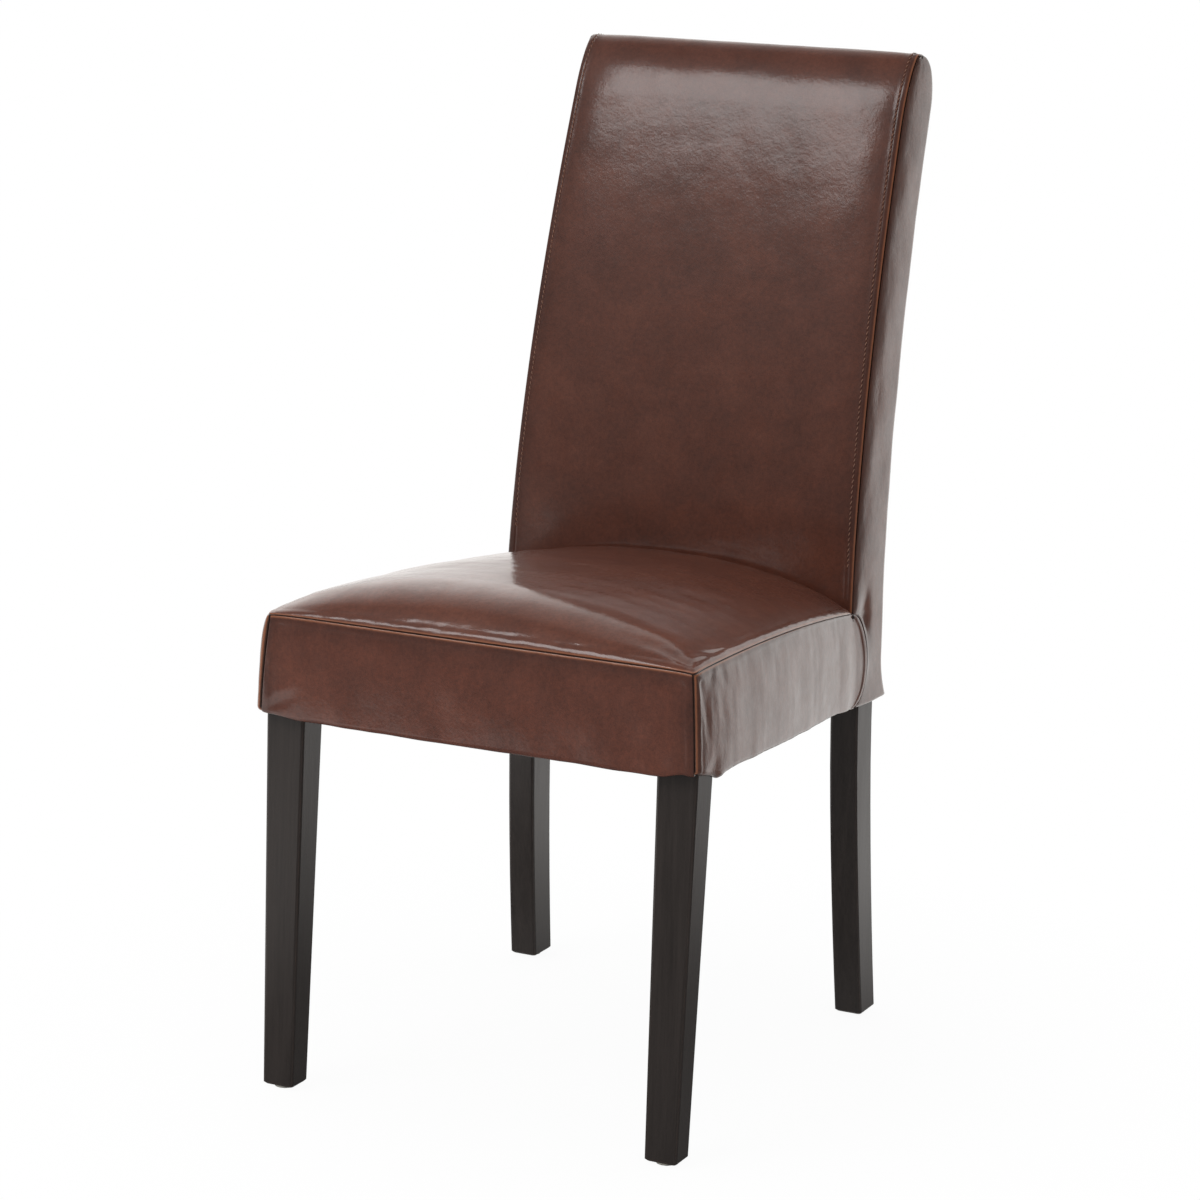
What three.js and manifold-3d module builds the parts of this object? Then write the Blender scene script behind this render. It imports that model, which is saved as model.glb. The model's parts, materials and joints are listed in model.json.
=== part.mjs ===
// Parsons dining chair: leather covers over foam and webbing on a hardwood frame.
// Millimetres, +Z up, the front towards -Y. While the pieces are made, y counts from the front
// seam of the seat backwards, and the finished chair is then centred over the origin.

import * as THREE from "three";
import { mergeVertices } from "three/addons/utils/BufferGeometryUtils.js";
import Module from "manifold-3d";

// Clearances and sheet thicknesses
const clearance = 0.3;
const leatherThickness = 1.6;
const strapThickness = 1.5;
const dustCoverThickness = 1;
const cutOverrun = 2;

// Seat
const seatSeamHeight = 486;
const seatFrontWidth = 456;
const seatDepth = 470;
const seatSideBow = 3;
const seamDrop = 30;
const seamDropPower = 2.1;
const seatCrown = 43;
const seatCrownRun = 45;
const seatCrownPower = 2.2;
const seatCrownRoundness = 0.72;
const waddingThickness = 6;

// Bands round the seat and their hem
const bandHeight = 102;
const deckPitchDegrees = 3.7;
const bandLean = 7;
const bandBulge = 1;
const bandRearBulge = 4;
const frontLean = 2;
const joinReach = 31;
const hemTurn = 16;

// Back
const backRise = 541;
const backWidthAtSeat = 401.5;
const backTopWidth = 378.5;
const backDepth = 90.5;
const rakeReach = 101.3;
const rakePower = 1.69;
const topRise = 62;
const topFrontReach = 20;
const topRearReach = 61;
const backCrown = 8;
const backCrownReach = 34;
const backCrownRun = 90;
const rearCrown = 3;
const sideBulge = 3;
const sideBulgeReach = 22;
const rearRound = 16;
const rearFlare = 14;
const rearFlareHeight = 50;
const tuckDepth = 20;
const tuckInset = 5;

// Front legs
const frontPadding = 9;
const sidePadding = 2.6;
const legWidth = 42;
const legDepth = 39;
const legFootWidth = 34;
const legFootDepth = 31;
const legTopInset = 3.5;
const woodEase = 3;
const footEase = 2;

// Rear posts: each leg and back post is one sawn piece
const faceToPost = 22;
const postStandOut = 0.7;
const postWidth = 31;
const postDepth = 46;
const postTopDepth = 36;
const postFootDepth = 42;
const postTopRise = 15;
const sabreDrop = 54;
const sabreReach = 41;
const sabrePower = 1.45;

// Rails and their joints
const railHeight = 65;
const railThickness = 22;
const railSetback = 1;
const sideRailSetback = 3;
const hemToRail = 4.5;
const tenonThickness = 10;
const tenonShoulder = 8;
const tenonLength = 16;
const backRailHeight = 44;
const lowerRailRise = 6;
const middleRailShare = 0.5;

// Corner blocks and their screws
const blockArm = 40;
const blockHeight = 42;
const blockDrop = 8;
const screwHeadRadius = 4;
const screwHeadHeight = 2.4;
const screwRadius = 2.1;
const screwLength = 24;
const screwSink = 2;
const screwPointLength = 4;

// Glides under the feet
const glideHeight = 3.3;
const glideRadius = 11;
const glideBevel = 1;
const nailRadius = 1.6;
const nailLength = 14;

// Webbing
const strapWidth = 50;
const strapFold = 16;
const longStrapShares = [-0.78, -0.26, 0.26, 0.78];
const crossStrapShares = [0.24, 0.5, 0.76];
const backStrapShares = [0.27, 0.5, 0.76];

// Facets
const cornerSteps = 2;
const roundSegments = 12;
const seatColumns = 14;
const seatRows = 11;
const bandRows = 5;
const joinRows = 7;
const sabreRows = 7;
const rearFootRows = 3;
const backColumns = 12;
const backLevels = 10;
const topQuarterSteps = 6;

// Sizes that follow from the ones above
const deckSlope = Math.tan(THREE.MathUtils.degToRad(deckPitchDegrees));
const seamGap = leatherThickness + clearance;
const hemHeight = seatSeamHeight - bandHeight;
const backFoot = seatSeamHeight - seamDrop;
const backTopHeight = seatSeamHeight + backRise;
const springHeight = backTopHeight - topRise;
const backRun = springHeight - backFoot;
const topDepth = topFrontReach + topRearReach;
const topCentreY = seatDepth + rakeReach + topFrontReach;
const topLean = rakeReach * rakePower / backRun;
const rearPull = rearRound - sideBulge;
const postTop = springHeight + postTopRise;
const legFrontY = frontPadding;
const legRearY = legFrontY + legDepth;
const legOuterX = halfSeat(legRearY) + bandLean - sidePadding;
const legInnerX = legOuterX - legWidth;
const sabreHeight = hemHeight - sabreDrop;
const postFrontAtSeat = seatDepth + faceToPost;
const coverDepth = leatherThickness + clearance;
const foamBase = 3 * clearance + 2 * strapThickness;

const wasm = await Module();
wasm.setup();

const chair = new THREE.Group();

const materials = {
  wood: new THREE.MeshStandardMaterial({ color: 0x3a2f29, roughness: 0.5, metalness: 0 }),
  beech: new THREE.MeshStandardMaterial({ color: 0xc9a679, roughness: 0.7, metalness: 0 }),
  leather: new THREE.MeshStandardMaterial({ color: 0x5a2a1c, roughness: 0.38, metalness: 0 }),
  foam: new THREE.MeshStandardMaterial({ color: 0xe6d9a8, roughness: 0.95, metalness: 0 }),
  wadding: new THREE.MeshStandardMaterial({ color: 0xf0efe9, roughness: 1, metalness: 0 }),
  webbing: new THREE.MeshStandardMaterial({ color: 0xa98a5c, roughness: 0.9, metalness: 0 }),
  cloth: new THREE.MeshStandardMaterial({ color: 0x1c1c1e, roughness: 0.95, metalness: 0 }),
  steel: new THREE.MeshStandardMaterial({ color: 0xa9abad, roughness: 0.35, metalness: 1 }),
  nylon: new THREE.MeshStandardMaterial({ color: 0xcfcabd, roughness: 0.45, metalness: 0 }),
};

function add(name, geometry, material) {
  const mesh = new THREE.Mesh(geometry, material);
  mesh.name = name;
  chair.add(mesh);
  return mesh;
}

function point(x, y, z) {
  return new THREE.Vector3(x, y, z);
}

function share(value) {
  return THREE.MathUtils.clamp(value, 0, 1);
}

// Flat arch over the shares from 0 to 1, 1 high in the middle.
function arch(value) {
  return 4 * value * (1 - value);
}

// Quarter round: 0 at the edge, 1 where the round has run out.
function roundOff(value) {
  return Math.sqrt(1 - (1 - share(value)) ** 2);
}

// Closed body from points and triangles, with its faces turned outwards.
function closedBody(points, triangles) {
  const volume = triangles.reduce((sum, [a, b, c]) =>
    sum + points[a].dot(points[b].clone().cross(points[c])), 0);
  const faces = volume > 0 ? triangles : triangles.map(([a, b, c]) => [a, c, b]);
  const geometry = new THREE.BufferGeometry().setFromPoints(points);
  geometry.setIndex(faces.flat());
  geometry.computeVertexNormals();
  return geometry;
}

// Normal of a flat outline, long in proportion to its area.
function outlineNormal(ring) {
  const normal = point(0, 0, 0);
  ring.forEach((here, index) => {
    const next = ring[(index + 1) % ring.length];
    normal.add(here.clone().sub(ring[0]).cross(next.clone().sub(ring[0])));
  });
  return normal;
}

// Triangles over a flat outline, all turned the way that the outline runs.
function fillOutline(ring) {
  const normal = outlineNormal(ring);
  const axes = ["x", "y", "z"];
  const drop = axes.reduce((best, axis) =>
    (Math.abs(normal[axis]) > Math.abs(normal[best]) ? axis : best), "x");
  const [first, second] = axes.filter((axis) => axis !== drop);
  const flat = ring.map((corner) => new THREE.Vector2(corner[first], corner[second]));
  return THREE.ShapeUtils.triangulateShape(flat, []).map(([a, b, c]) => {
    const turn = ring[b].clone().sub(ring[a]).cross(ring[c].clone().sub(ring[a]));
    return turn.dot(normal) > 0 ? [a, b, c] : [a, c, b];
  });
}

// Solid skinned over a row of outlines with the same number of corners.
function loft(rings) {
  const count = rings[0].length;
  const last = (rings.length - 1) * count;
  const triangles = [];
  for (let row = 0; row < last; row += count) {
    for (let corner = 0; corner < count; corner++) {
      const next = (corner + 1) % count;
      const a = row + corner;
      const b = row + next;
      triangles.push([a, b, b + count], [a, b + count, a + count]);
    }
  }
  fillOutline(rings[0]).forEach(([a, b, c]) => triangles.push([a, c, b]));
  fillOutline(rings[rings.length - 1]).forEach(([a, b, c]) =>
    triangles.push([last + a, last + b, last + c]));
  return closedBody(rings.flat(), triangles);
}

// Solid between two grids of points that have the same rows and columns.
function slab(outer, inner) {
  const rows = outer.length - 1;
  const columns = outer[0].length - 1;
  const points = [...outer.flat(), ...inner.flat()];
  const half = points.length / 2;
  const at = (row, column) => row * (columns + 1) + column;
  const triangles = [];
  for (let row = 0; row < rows; row++) {
    for (let column = 0; column < columns; column++) {
      const [a, b] = [at(row, column), at(row, column + 1)];
      const [c, d] = [at(row + 1, column + 1), at(row + 1, column)];
      triangles.push([a, b, c], [a, c, d], [half + a, half + c, half + b], [half + a, half + d, half + c]);
    }
  }
  const rim = [];
  for (let column = 0; column < columns; column++) rim.push(at(0, column));
  for (let row = 0; row < rows; row++) rim.push(at(row, columns));
  for (let column = columns; column > 0; column--) rim.push(at(rows, column));
  for (let row = rows; row > 0; row--) rim.push(at(row, 0));
  rim.forEach((here, index) => {
    const next = rim[(index + 1) % rim.length];
    triangles.push([next, here, half + here], [next, half + here, half + next]);
  });
  return closedBody(points, triangles);
}

// Grid moved inwards by a distance, against the side that faces away from the chair.
function movedIn(grid, distance, outward) {
  const lastRow = grid.length - 1;
  const lastColumn = grid[0].length - 1;
  const normals = grid.map((line, row) => line.map((_, column) => {
    const along = grid[row][Math.min(column + 1, lastColumn)].clone()
      .sub(grid[row][Math.max(column - 1, 0)]);
    const across = grid[Math.min(row + 1, lastRow)][column].clone()
      .sub(grid[Math.max(row - 1, 0)][column]);
    return along.cross(across).normalize();
  }));
  const mean = point(0, 0, 0);
  normals.flat().forEach((normal) => mean.add(normal));
  const side = mean.dot(outward) > 0 ? 1 : -1;
  return grid.map((line, row) => line.map((corner, column) =>
    corner.clone().addScaledVector(normals[row][column], -side * distance)));
}

// Leather panel: the grid is its outer face.
function panel(grid, outward) {
  return slab(grid, movedIn(grid, leatherThickness, outward));
}

function mirrored(geometry) {
  const flipped = geometry.clone().scale(-1, 1, 1);
  const index = flipped.index.array;
  for (let corner = 0; corner < index.length; corner += 3) {
    [index[corner + 1], index[corner + 2]] = [index[corner + 2], index[corner + 1]];
  }
  flipped.computeVertexNormals();
  return flipped;
}

function addPair(name, geometry, material) {
  add(`${name}_right`, geometry, material);
  add(`${name}_left`, mirrored(geometry), material);
}

function toSolid(geometry) {
  const bare = geometry.clone();
  bare.deleteAttribute("normal");
  bare.deleteAttribute("uv");
  const merged = mergeVertices(bare);
  return new wasm.Manifold(new wasm.Mesh({
    numProp: 3,
    vertProperties: new Float32Array(merged.attributes.position.array),
    triVerts: new Uint32Array(merged.index.array),
  }));
}

function toGeometry(solid) {
  const mesh = solid.getMesh();
  const geometry = new THREE.BufferGeometry();
  geometry.setAttribute("position", new THREE.BufferAttribute(mesh.vertProperties, 3));
  geometry.setIndex(new THREE.BufferAttribute(mesh.triVerts, 1));
  geometry.computeVertexNormals();
  return geometry;
}

function cut(body, tools) {
  return toGeometry(tools.reduce((solid, tool) => solid.subtract(toSolid(tool)), toSolid(body)));
}

function join(bodies) {
  return toGeometry(bodies.map(toSolid).reduce((solid, body) => solid.add(body)));
}

// Level outline of a square-sawn member whose edges are eased.
function easedRing(minX, maxX, minY, maxY, z, ease) {
  const corners = [
    [maxX - ease, maxY - ease],
    [minX + ease, maxY - ease],
    [minX + ease, minY + ease],
    [maxX - ease, minY + ease],
  ];
  return corners.flatMap(([x, y], quarter) =>
    Array.from({ length: cornerSteps + 1 }, (_, step) => {
      const angle = (quarter + step / cornerSteps) * Math.PI / 2;
      return point(x + ease * Math.cos(angle), y + ease * Math.sin(angle), z);
    }));
}

// Evenly spaced shares from 0 to 1.
function steps(count) {
  return Array.from({ length: count + 1 }, (_, step) => step / count);
}

// Shares from -1 to 1, close together towards both ends.
function edgeSteps(count) {
  return steps(count).map((step) => Math.sin((step - 1 / 2) * Math.PI));
}

// Seat surfaces

function halfSeat(y) {
  const along = share(y / seatDepth);
  const straight = THREE.MathUtils.lerp(seatFrontWidth, backWidthAtSeat, along) / 2;
  return straight + seatSideBow * arch(along);
}

function seamHeight(y) {
  return seatSeamHeight - seamDrop * share(y / seatDepth) ** seamDropPower;
}

function hemHeightAt(y) {
  return hemHeight - deckSlope * y;
}

function railBottom(y) {
  return hemHeightAt(y) + hemToRail;
}

function deckHeight(y) {
  return railBottom(y) + railHeight;
}

function crownShape(value) {
  return (1 - share(value) ** seatCrownPower) ** seatCrownRoundness;
}

function seatTop(x, y) {
  const crown = seatCrown * crownShape(1 - share(y / seatCrownRun));
  return seamHeight(y) + crown * crownShape(Math.abs(x) / halfSeat(y));
}

// Outer face of the bands, where rise is 0 at the hem and 1 at the seam.
function bandX(y, rise) {
  const bulge = THREE.MathUtils.lerp(bandBulge, bandRearBulge, share(y / seatDepth));
  return halfSeat(y) + bandLean * (1 - rise) + bulge * arch(rise);
}

function bandY(rise) {
  return -frontLean * (1 - rise) - bandBulge * arch(rise);
}

function bandZ(y, rise) {
  return THREE.MathUtils.lerp(hemHeightAt(y), seamHeight(y) - seamGap, rise);
}

// Curved seam where the seat's side band meets the side of the back.
function joinY(rise) {
  return seatDepth + joinReach * Math.sqrt(arch(share(rise)));
}

// Back surfaces

// Levels shared by everything that follows the rake of the back.
function faceLevels() {
  return steps(backLevels).map((step) => THREE.MathUtils.lerp(backFoot, springHeight, step));
}

function backShare(z) {
  return (z - backFoot) / backRun;
}

function faceY(z) {
  return seatDepth + rakeReach * Math.max(backShare(z), 0) ** rakePower;
}

function rearY(z) {
  const depth = THREE.MathUtils.lerp(backDepth, topDepth, share(backShare(z)));
  const hem = hemHeightAt(seatDepth + backDepth);
  const flare = rearFlare * share((hem + rearFlareHeight - z) / rearFlareHeight) ** 2;
  return faceY(z) + depth + flare;
}

function halfBack(z) {
  return THREE.MathUtils.lerp(backWidthAtSeat, backTopWidth, backShare(z)) / 2;
}

// Seam round the rounded top: the angle is 0 at the front and half a turn at the rear.
function topPoint(angle, inset) {
  const reach = Math.cos(angle) > 0 ? topFrontReach : topRearReach;
  return {
    y: topCentreY - (reach - inset) * Math.cos(angle) + topLean * topRise * Math.sin(angle),
    z: springHeight + (topRise - inset) * Math.sin(angle),
    half: backTopWidth / 2 - rearPull * Math.max(0, -Math.cos(angle)) ** 2,
    crown: backCrown * ((1 + Math.cos(angle)) / 2) ** 2,
  };
}

// Posts

function postFront(z) {
  const sweep = sabreReach * share((sabreHeight - z) / sabreHeight) ** sabrePower;
  return faceY(z) + faceToPost + sweep;
}

function postRear(z) {
  const foot = THREE.MathUtils.lerp(postDepth, postFootDepth, share((sabreHeight - z) / sabreHeight));
  const depth = THREE.MathUtils.lerp(foot, postTopDepth, share(backShare(z)));
  return postFront(z) + depth;
}

function postOuter(z) {
  return halfBack(z) + postStandOut;
}

function postInner(z) {
  return postOuter(z) - postWidth;
}

// Rails: each one is a board with a bar through its heart that stands out as the tenons.

function sideRailX(y) {
  const along = (y - legRearY) / (postFrontAtSeat - legRearY);
  const rear = postOuter(deckHeight(postFrontAtSeat) - railHeight / 2);
  return THREE.MathUtils.lerp(legOuterX, rear, along) - sideRailSetback;
}

function sideRailBar(startY, endY, grow) {
  const middle = (railThickness - tenonThickness) / 2;
  const ring = (y) => {
    const outer = sideRailX(y) - middle + grow;
    const inner = sideRailX(y) - railThickness + middle - grow;
    const low = railBottom(y) + tenonShoulder - grow;
    const high = deckHeight(y) - tenonShoulder + grow;
    return [point(inner, y, low), point(outer, y, low), point(outer, y, high), point(inner, y, high)];
  };
  return loft([ring(startY), ring(endY)]);
}

function sideRailBoard() {
  const ring = (y) => {
    const outer = sideRailX(y);
    const inner = outer - railThickness;
    return [
      point(inner, y, railBottom(y)),
      point(outer, y, railBottom(y)),
      point(outer, y, deckHeight(y)),
      point(inner, y, deckHeight(y)),
    ];
  };
  return loft([ring(legRearY + clearance), ring(postFrontAtSeat - clearance)]);
}

// Board across the chair, given by the front face, the foot and the top of its section.
function crossRing(frontY, low, high, inset, grow, x) {
  const near = inset - grow;
  const far = railThickness - inset + grow;
  return [
    [near, low(near)],
    [far, low(far)],
    [far, high(far)],
    [near, high(near)],
  ].map(([depth, z]) => point(x(z), frontY(z) + depth, z));
}

function crossBoard(section, reach) {
  const ring = (side) => crossRing(section.frontY, section.low, section.high, 0, 0,
    (z) => side * (reach(z) - clearance));
  return loft([ring(-1), ring(1)]);
}

function crossBar(section, startX, endX, grow) {
  const inset = (railThickness - tenonThickness) / 2;
  const low = (depth) => section.low(depth) + tenonShoulder - grow;
  const high = (depth) => section.high(depth) - tenonShoulder + grow;
  const ring = (x) => crossRing(section.frontY, low, high, inset, grow, x);
  return loft([ring(startX), ring(endX)]);
}

const frontRailSection = {
  frontY: () => legFrontY + railSetback,
  low: (depth) => railBottom(legFrontY + railSetback + depth),
  high: (depth) => deckHeight(legFrontY + railSetback + depth),
};

const rearRailFront = postRear(deckHeight(postFrontAtSeat)) - railSetback - railThickness;

const rearRailSection = {
  frontY: () => rearRailFront,
  low: (depth) => railBottom(rearRailFront + depth),
  high: (depth) => deckHeight(rearRailFront + depth),
};

function backRailSection(bottom) {
  return {
    frontY: (z) => postFront(z) + railSetback,
    low: () => bottom,
    high: () => bottom + backRailHeight,
  };
}

const lowerRailBottom = backFoot + lowerRailRise;
const topRailBottom = postTop - backRailHeight;
const middleRailBottom = THREE.MathUtils.lerp(lowerRailBottom, topRailBottom, middleRailShare);

const backRails = {
  back_lower_rail: backRailSection(lowerRailBottom),
  back_middle_rail: backRailSection(middleRailBottom),
  back_top_rail: backRailSection(topRailBottom),
};

function mortise(section, inner) {
  return crossBar(section, (z) => inner(z) - cutOverrun,
    (z) => inner(z) + tenonLength + clearance, clearance);
}

// Cylinder from a start point in a direction, for drilled holes.
function drill(start, direction, radius, length) {
  const hole = new THREE.CylinderGeometry(radius, radius, length, roundSegments);
  hole.translate(0, length / 2, 0);
  hole.applyQuaternion(new THREE.Quaternion().setFromUnitVectors(point(0, 1, 0), direction));
  hole.translate(start.x, start.y, start.z);
  return hole;
}

const up = point(0, 0, 1);

// Feet: where each glide stands, on the right-hand side.
const frontFoot = point(legOuterX - legWidth / 2, legFrontY + legFootDepth / 2, 0);
const rearFoot = point(
  (postInner(0) + postOuter(0)) / 2, (postFront(0) + postRear(0)) / 2, 0);

function nailHole(foot) {
  const start = point(foot.x, foot.y, 0);
  return drill(start, up, nailRadius + clearance, glideHeight + nailLength + clearance);
}

function frontLeg() {
  const footInset = (legWidth - legFootWidth) / 2;
  const level = (z, taper, inset, topInset) => easedRing(
    legInnerX + taper * footInset + inset,
    legOuterX - taper * footInset - inset - topInset,
    legFrontY + inset,
    legRearY - taper * (legDepth - legFootDepth) - inset,
    z, woodEase);
  const body = loft([
    level(glideHeight, 1, footEase, 0),
    level(glideHeight + footEase, 1, 0, 0),
    level(hemHeight, 0, 0, 0),
    level(deckHeight(legRearY), 0, 0, legTopInset),
  ]);
  return cut(body, [
    mortise(frontRailSection, () => legInnerX),
    sideRailBar(legRearY + cutOverrun, legRearY - tenonLength - clearance, clearance),
    nailHole(frontFoot),
  ]);
}

function rearPost() {
  const level = (z, inset) => easedRing(
    postInner(z) + inset, postOuter(z) - inset, postFront(z) + inset, postRear(z) - inset, z, woodEase);
  const legLevels = steps(sabreRows).map((step) =>
    THREE.MathUtils.lerp(glideHeight + footEase, sabreHeight, step));
  const body = loft([
    level(glideHeight, footEase),
    ...legLevels.map((z) => level(z, 0)),
    ...faceLevels().map((z) => level(z, 0)),
    level(postTop, 0),
  ]);
  return cut(body, [
    mortise(rearRailSection, postInner),
    ...Object.values(backRails).map((section) => mortise(section, postInner)),
    sideRailBar(postFrontAtSeat - cutOverrun, postFrontAtSeat + tenonLength + clearance, clearance),
    nailHole(rearFoot),
  ]);
}

// Corner blocks: a mitred block in each corner, notched round the leg and screwed to both rails.

function frontBlockPlan() {
  const railY = legFrontY + railSetback + railThickness + clearance;
  const endY = legRearY + blockArm;
  return {
    corners: [
      [legInnerX - blockArm, railY],
      [legInnerX - clearance, railY],
      [legInnerX - clearance, legRearY + clearance],
      [sideRailX(legRearY) - railThickness - clearance, legRearY + clearance],
      [sideRailX(endY) - railThickness - clearance, endY],
    ],
    top: deckHeight(endY) - blockDrop,
    towards: -1,
  };
}

function rearBlockPlan() {
  const railY = rearRailFront - clearance;
  const endY = postFrontAtSeat - blockArm;
  const top = deckHeight(rearRailFront) - blockDrop;
  const inner = postInner(top);
  return {
    corners: [
      [inner - blockArm, railY],
      [inner - clearance, railY],
      [inner - clearance, postFrontAtSeat - clearance],
      [sideRailX(postFrontAtSeat) - railThickness - clearance, postFrontAtSeat - clearance],
      [sideRailX(endY) - railThickness - clearance, endY],
    ],
    top,
    towards: 1,
  };
}

// Two screws a block: one into the rail across the chair and one into the side rail.
function blockScrews(plan) {
  const [start, , , , end] = plan.corners;
  const middle = plan.top - blockHeight / 2;
  const onFace = (along) => [
    THREE.MathUtils.lerp(start[0], end[0], along),
    THREE.MathUtils.lerp(start[1], end[1], along),
  ];
  const acrossShare = 0.26;
  const sideShare = 0.74;
  const heightShare = 0.2;
  const [acrossX, acrossY] = onFace(acrossShare);
  const [sideX, sideY] = onFace(sideShare);
  return [
    {
      seat: point(acrossX, acrossY + plan.towards * screwSink, middle + blockHeight * heightShare),
      direction: point(0, plan.towards, 0),
    },
    {
      seat: point(sideX + screwSink, sideY, middle - blockHeight * heightShare),
      direction: point(1, 0, 0),
    },
  ];
}

function screwHole({ seat, direction }) {
  return drill(seat, direction, screwRadius + clearance, screwHeadHeight + screwLength + clearance);
}

function headRecess({ seat, direction }) {
  const start = seat.clone().addScaledVector(direction, -blockArm / 2);
  const depth = blockArm / 2 + screwHeadHeight + clearance;
  return drill(start, direction, screwHeadRadius + clearance, depth);
}

function cornerBlock(plan) {
  const ring = (z) => plan.corners.map(([x, y]) => point(x, y, z));
  const body = loft([ring(plan.top - blockHeight), ring(plan.top)]);
  const screws = blockScrews(plan);
  return cut(body, [...screws.map(screwHole), ...screws.map(headRecess)]);
}

// Pan-head wood screw, its head's top at the origin and its point down the y axis.
function screwGeometry() {
  const tip = screwHeadHeight + screwLength;
  const outline = [
    [0, tip],
    [screwRadius, tip - screwPointLength],
    [screwRadius, screwHeadHeight],
    [screwHeadRadius, screwHeadHeight],
    [screwHeadRadius, screwHeadHeight / 2],
    [screwHeadRadius * 3 / 4, 0],
    [0, 0],
  ];
  const profile = outline.map(([radius, depth]) => new THREE.Vector2(radius, -depth));
  return new THREE.LatheGeometry(profile, roundSegments);
}

function placeScrew(name, { seat, direction }, side) {
  const screw = add(name, screwGeometry(), materials.steel);
  const heading = point(side * direction.x, direction.y, 0);
  screw.quaternion.setFromUnitVectors(point(0, -1, 0), heading);
  screw.position.set(side * seat.x, seat.y, seat.z);
}

// Nail-on glide: a bevelled disc with its nail, turned as one.
function glideGeometry() {
  const disc = glideHeight - clearance;
  const outline = [
    [0, 0],
    [glideRadius - glideBevel, 0],
    [glideRadius, glideBevel],
    [glideRadius, disc],
    [nailRadius, disc],
    [nailRadius, glideHeight + nailLength - nailRadius],
    [0, glideHeight + nailLength],
  ];
  const profile = outline.map(([radius, height]) => new THREE.Vector2(radius, height));
  return new THREE.LatheGeometry(profile, roundSegments).rotateX(Math.PI / 2);
}

function placeGlide(name, foot, side) {
  const glide = add(name, glideGeometry(), materials.nylon);
  glide.position.set(side * foot.x, foot.y, 0);
}

function makeFrame() {
  const frontPlan = frontBlockPlan();
  const rearPlan = rearBlockPlan();
  const frontScrews = blockScrews(frontPlan);
  const rearScrews = blockScrews(rearPlan);
  const bothSides = (screws) => screws.flatMap(({ seat, direction }) => [1, -1].map((side) => ({
    seat: point(side * seat.x, seat.y, seat.z),
    direction: point(side * direction.x, direction.y, 0),
  })));

  addPair("front_leg", frontLeg(), materials.wood);
  addPair("rear_post", rearPost(), materials.wood);

  const sideRail = join([
    sideRailBoard(),
    sideRailBar(legRearY - tenonLength, postFrontAtSeat + tenonLength, 0),
  ]);
  const sideHoles = [frontScrews[1], rearScrews[1]].map(screwHole);
  addPair("side_rail", cut(sideRail, sideHoles), materials.beech);

  const acrossRail = (section, inner) => join([
    crossBoard(section, inner),
    crossBar(section, (z) => -inner(z) - tenonLength, (z) => inner(z) + tenonLength, 0),
  ]);
  const frontRail = acrossRail(frontRailSection, () => legInnerX);
  add("front_rail", cut(frontRail, bothSides([frontScrews[0]]).map(screwHole)), materials.beech);
  const rearRail = acrossRail(rearRailSection, postInner);
  add("rear_rail", cut(rearRail, bothSides([rearScrews[0]]).map(screwHole)), materials.beech);
  Object.entries(backRails).forEach(([name, section]) =>
    add(name, acrossRail(section, postInner), materials.beech));

  addPair("corner_block_front", cornerBlock(frontPlan), materials.beech);
  addPair("corner_block_rear", cornerBlock(rearPlan), materials.beech);
  const corners = { front: frontScrews, rear: rearScrews };
  const sides = { right: 1, left: -1 };
  Object.entries(corners).forEach(([corner, screws]) => {
    Object.entries(sides).forEach(([sideName, side]) => {
      placeScrew(`block_screw_${corner}_${sideName}_a`, screws[0], side);
      placeScrew(`block_screw_${corner}_${sideName}_b`, screws[1], side);
      placeGlide(`glide_${corner}_${sideName}`, corner === "front" ? frontFoot : rearFoot, side);
    });
  });
}

// Webbing: straps woven over and under each other, with their ends folded back on the rails.

// Outline of a strap seen from its edge: pairs of distance along it and height over the deck.
function strapOutline(start, end, crossings) {
  const rest = clearance + strapThickness / 2;
  const lift = (strapThickness + clearance) / 2;
  const foldTop = clearance * 2 + strapThickness * 2;
  const foldUnder = foldTop - strapThickness;
  const hold = strapWidth / 2 + strapThickness;
  const run = crossings.flatMap(({ at, over }) => {
    const height = rest + (over ? lift : -lift);
    return [[at - hold, height], [at + hold, height]];
  });
  const middle = [[start + strapFold, rest], ...run, [end - strapFold, rest]];
  const under = middle.map(([along, height]) => [along, height - strapThickness / 2]);
  const over = middle.map(([along, height]) => [along, height + strapThickness / 2]).reverse();
  const inside = rest + strapThickness / 2;
  return [
    [start, clearance],
    ...under,
    [end, clearance],
    [end, foldTop],
    [end - strapFold, foldTop],
    [end - strapFold, foldUnder],
    [end - strapThickness, foldUnder],
    [end - strapThickness, inside],
    ...over,
    [start + strapThickness, inside],
    [start + strapThickness, foldUnder],
    [start + strapFold, foldUnder],
    [start + strapFold, foldTop],
    [start, foldTop],
  ];
}

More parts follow.
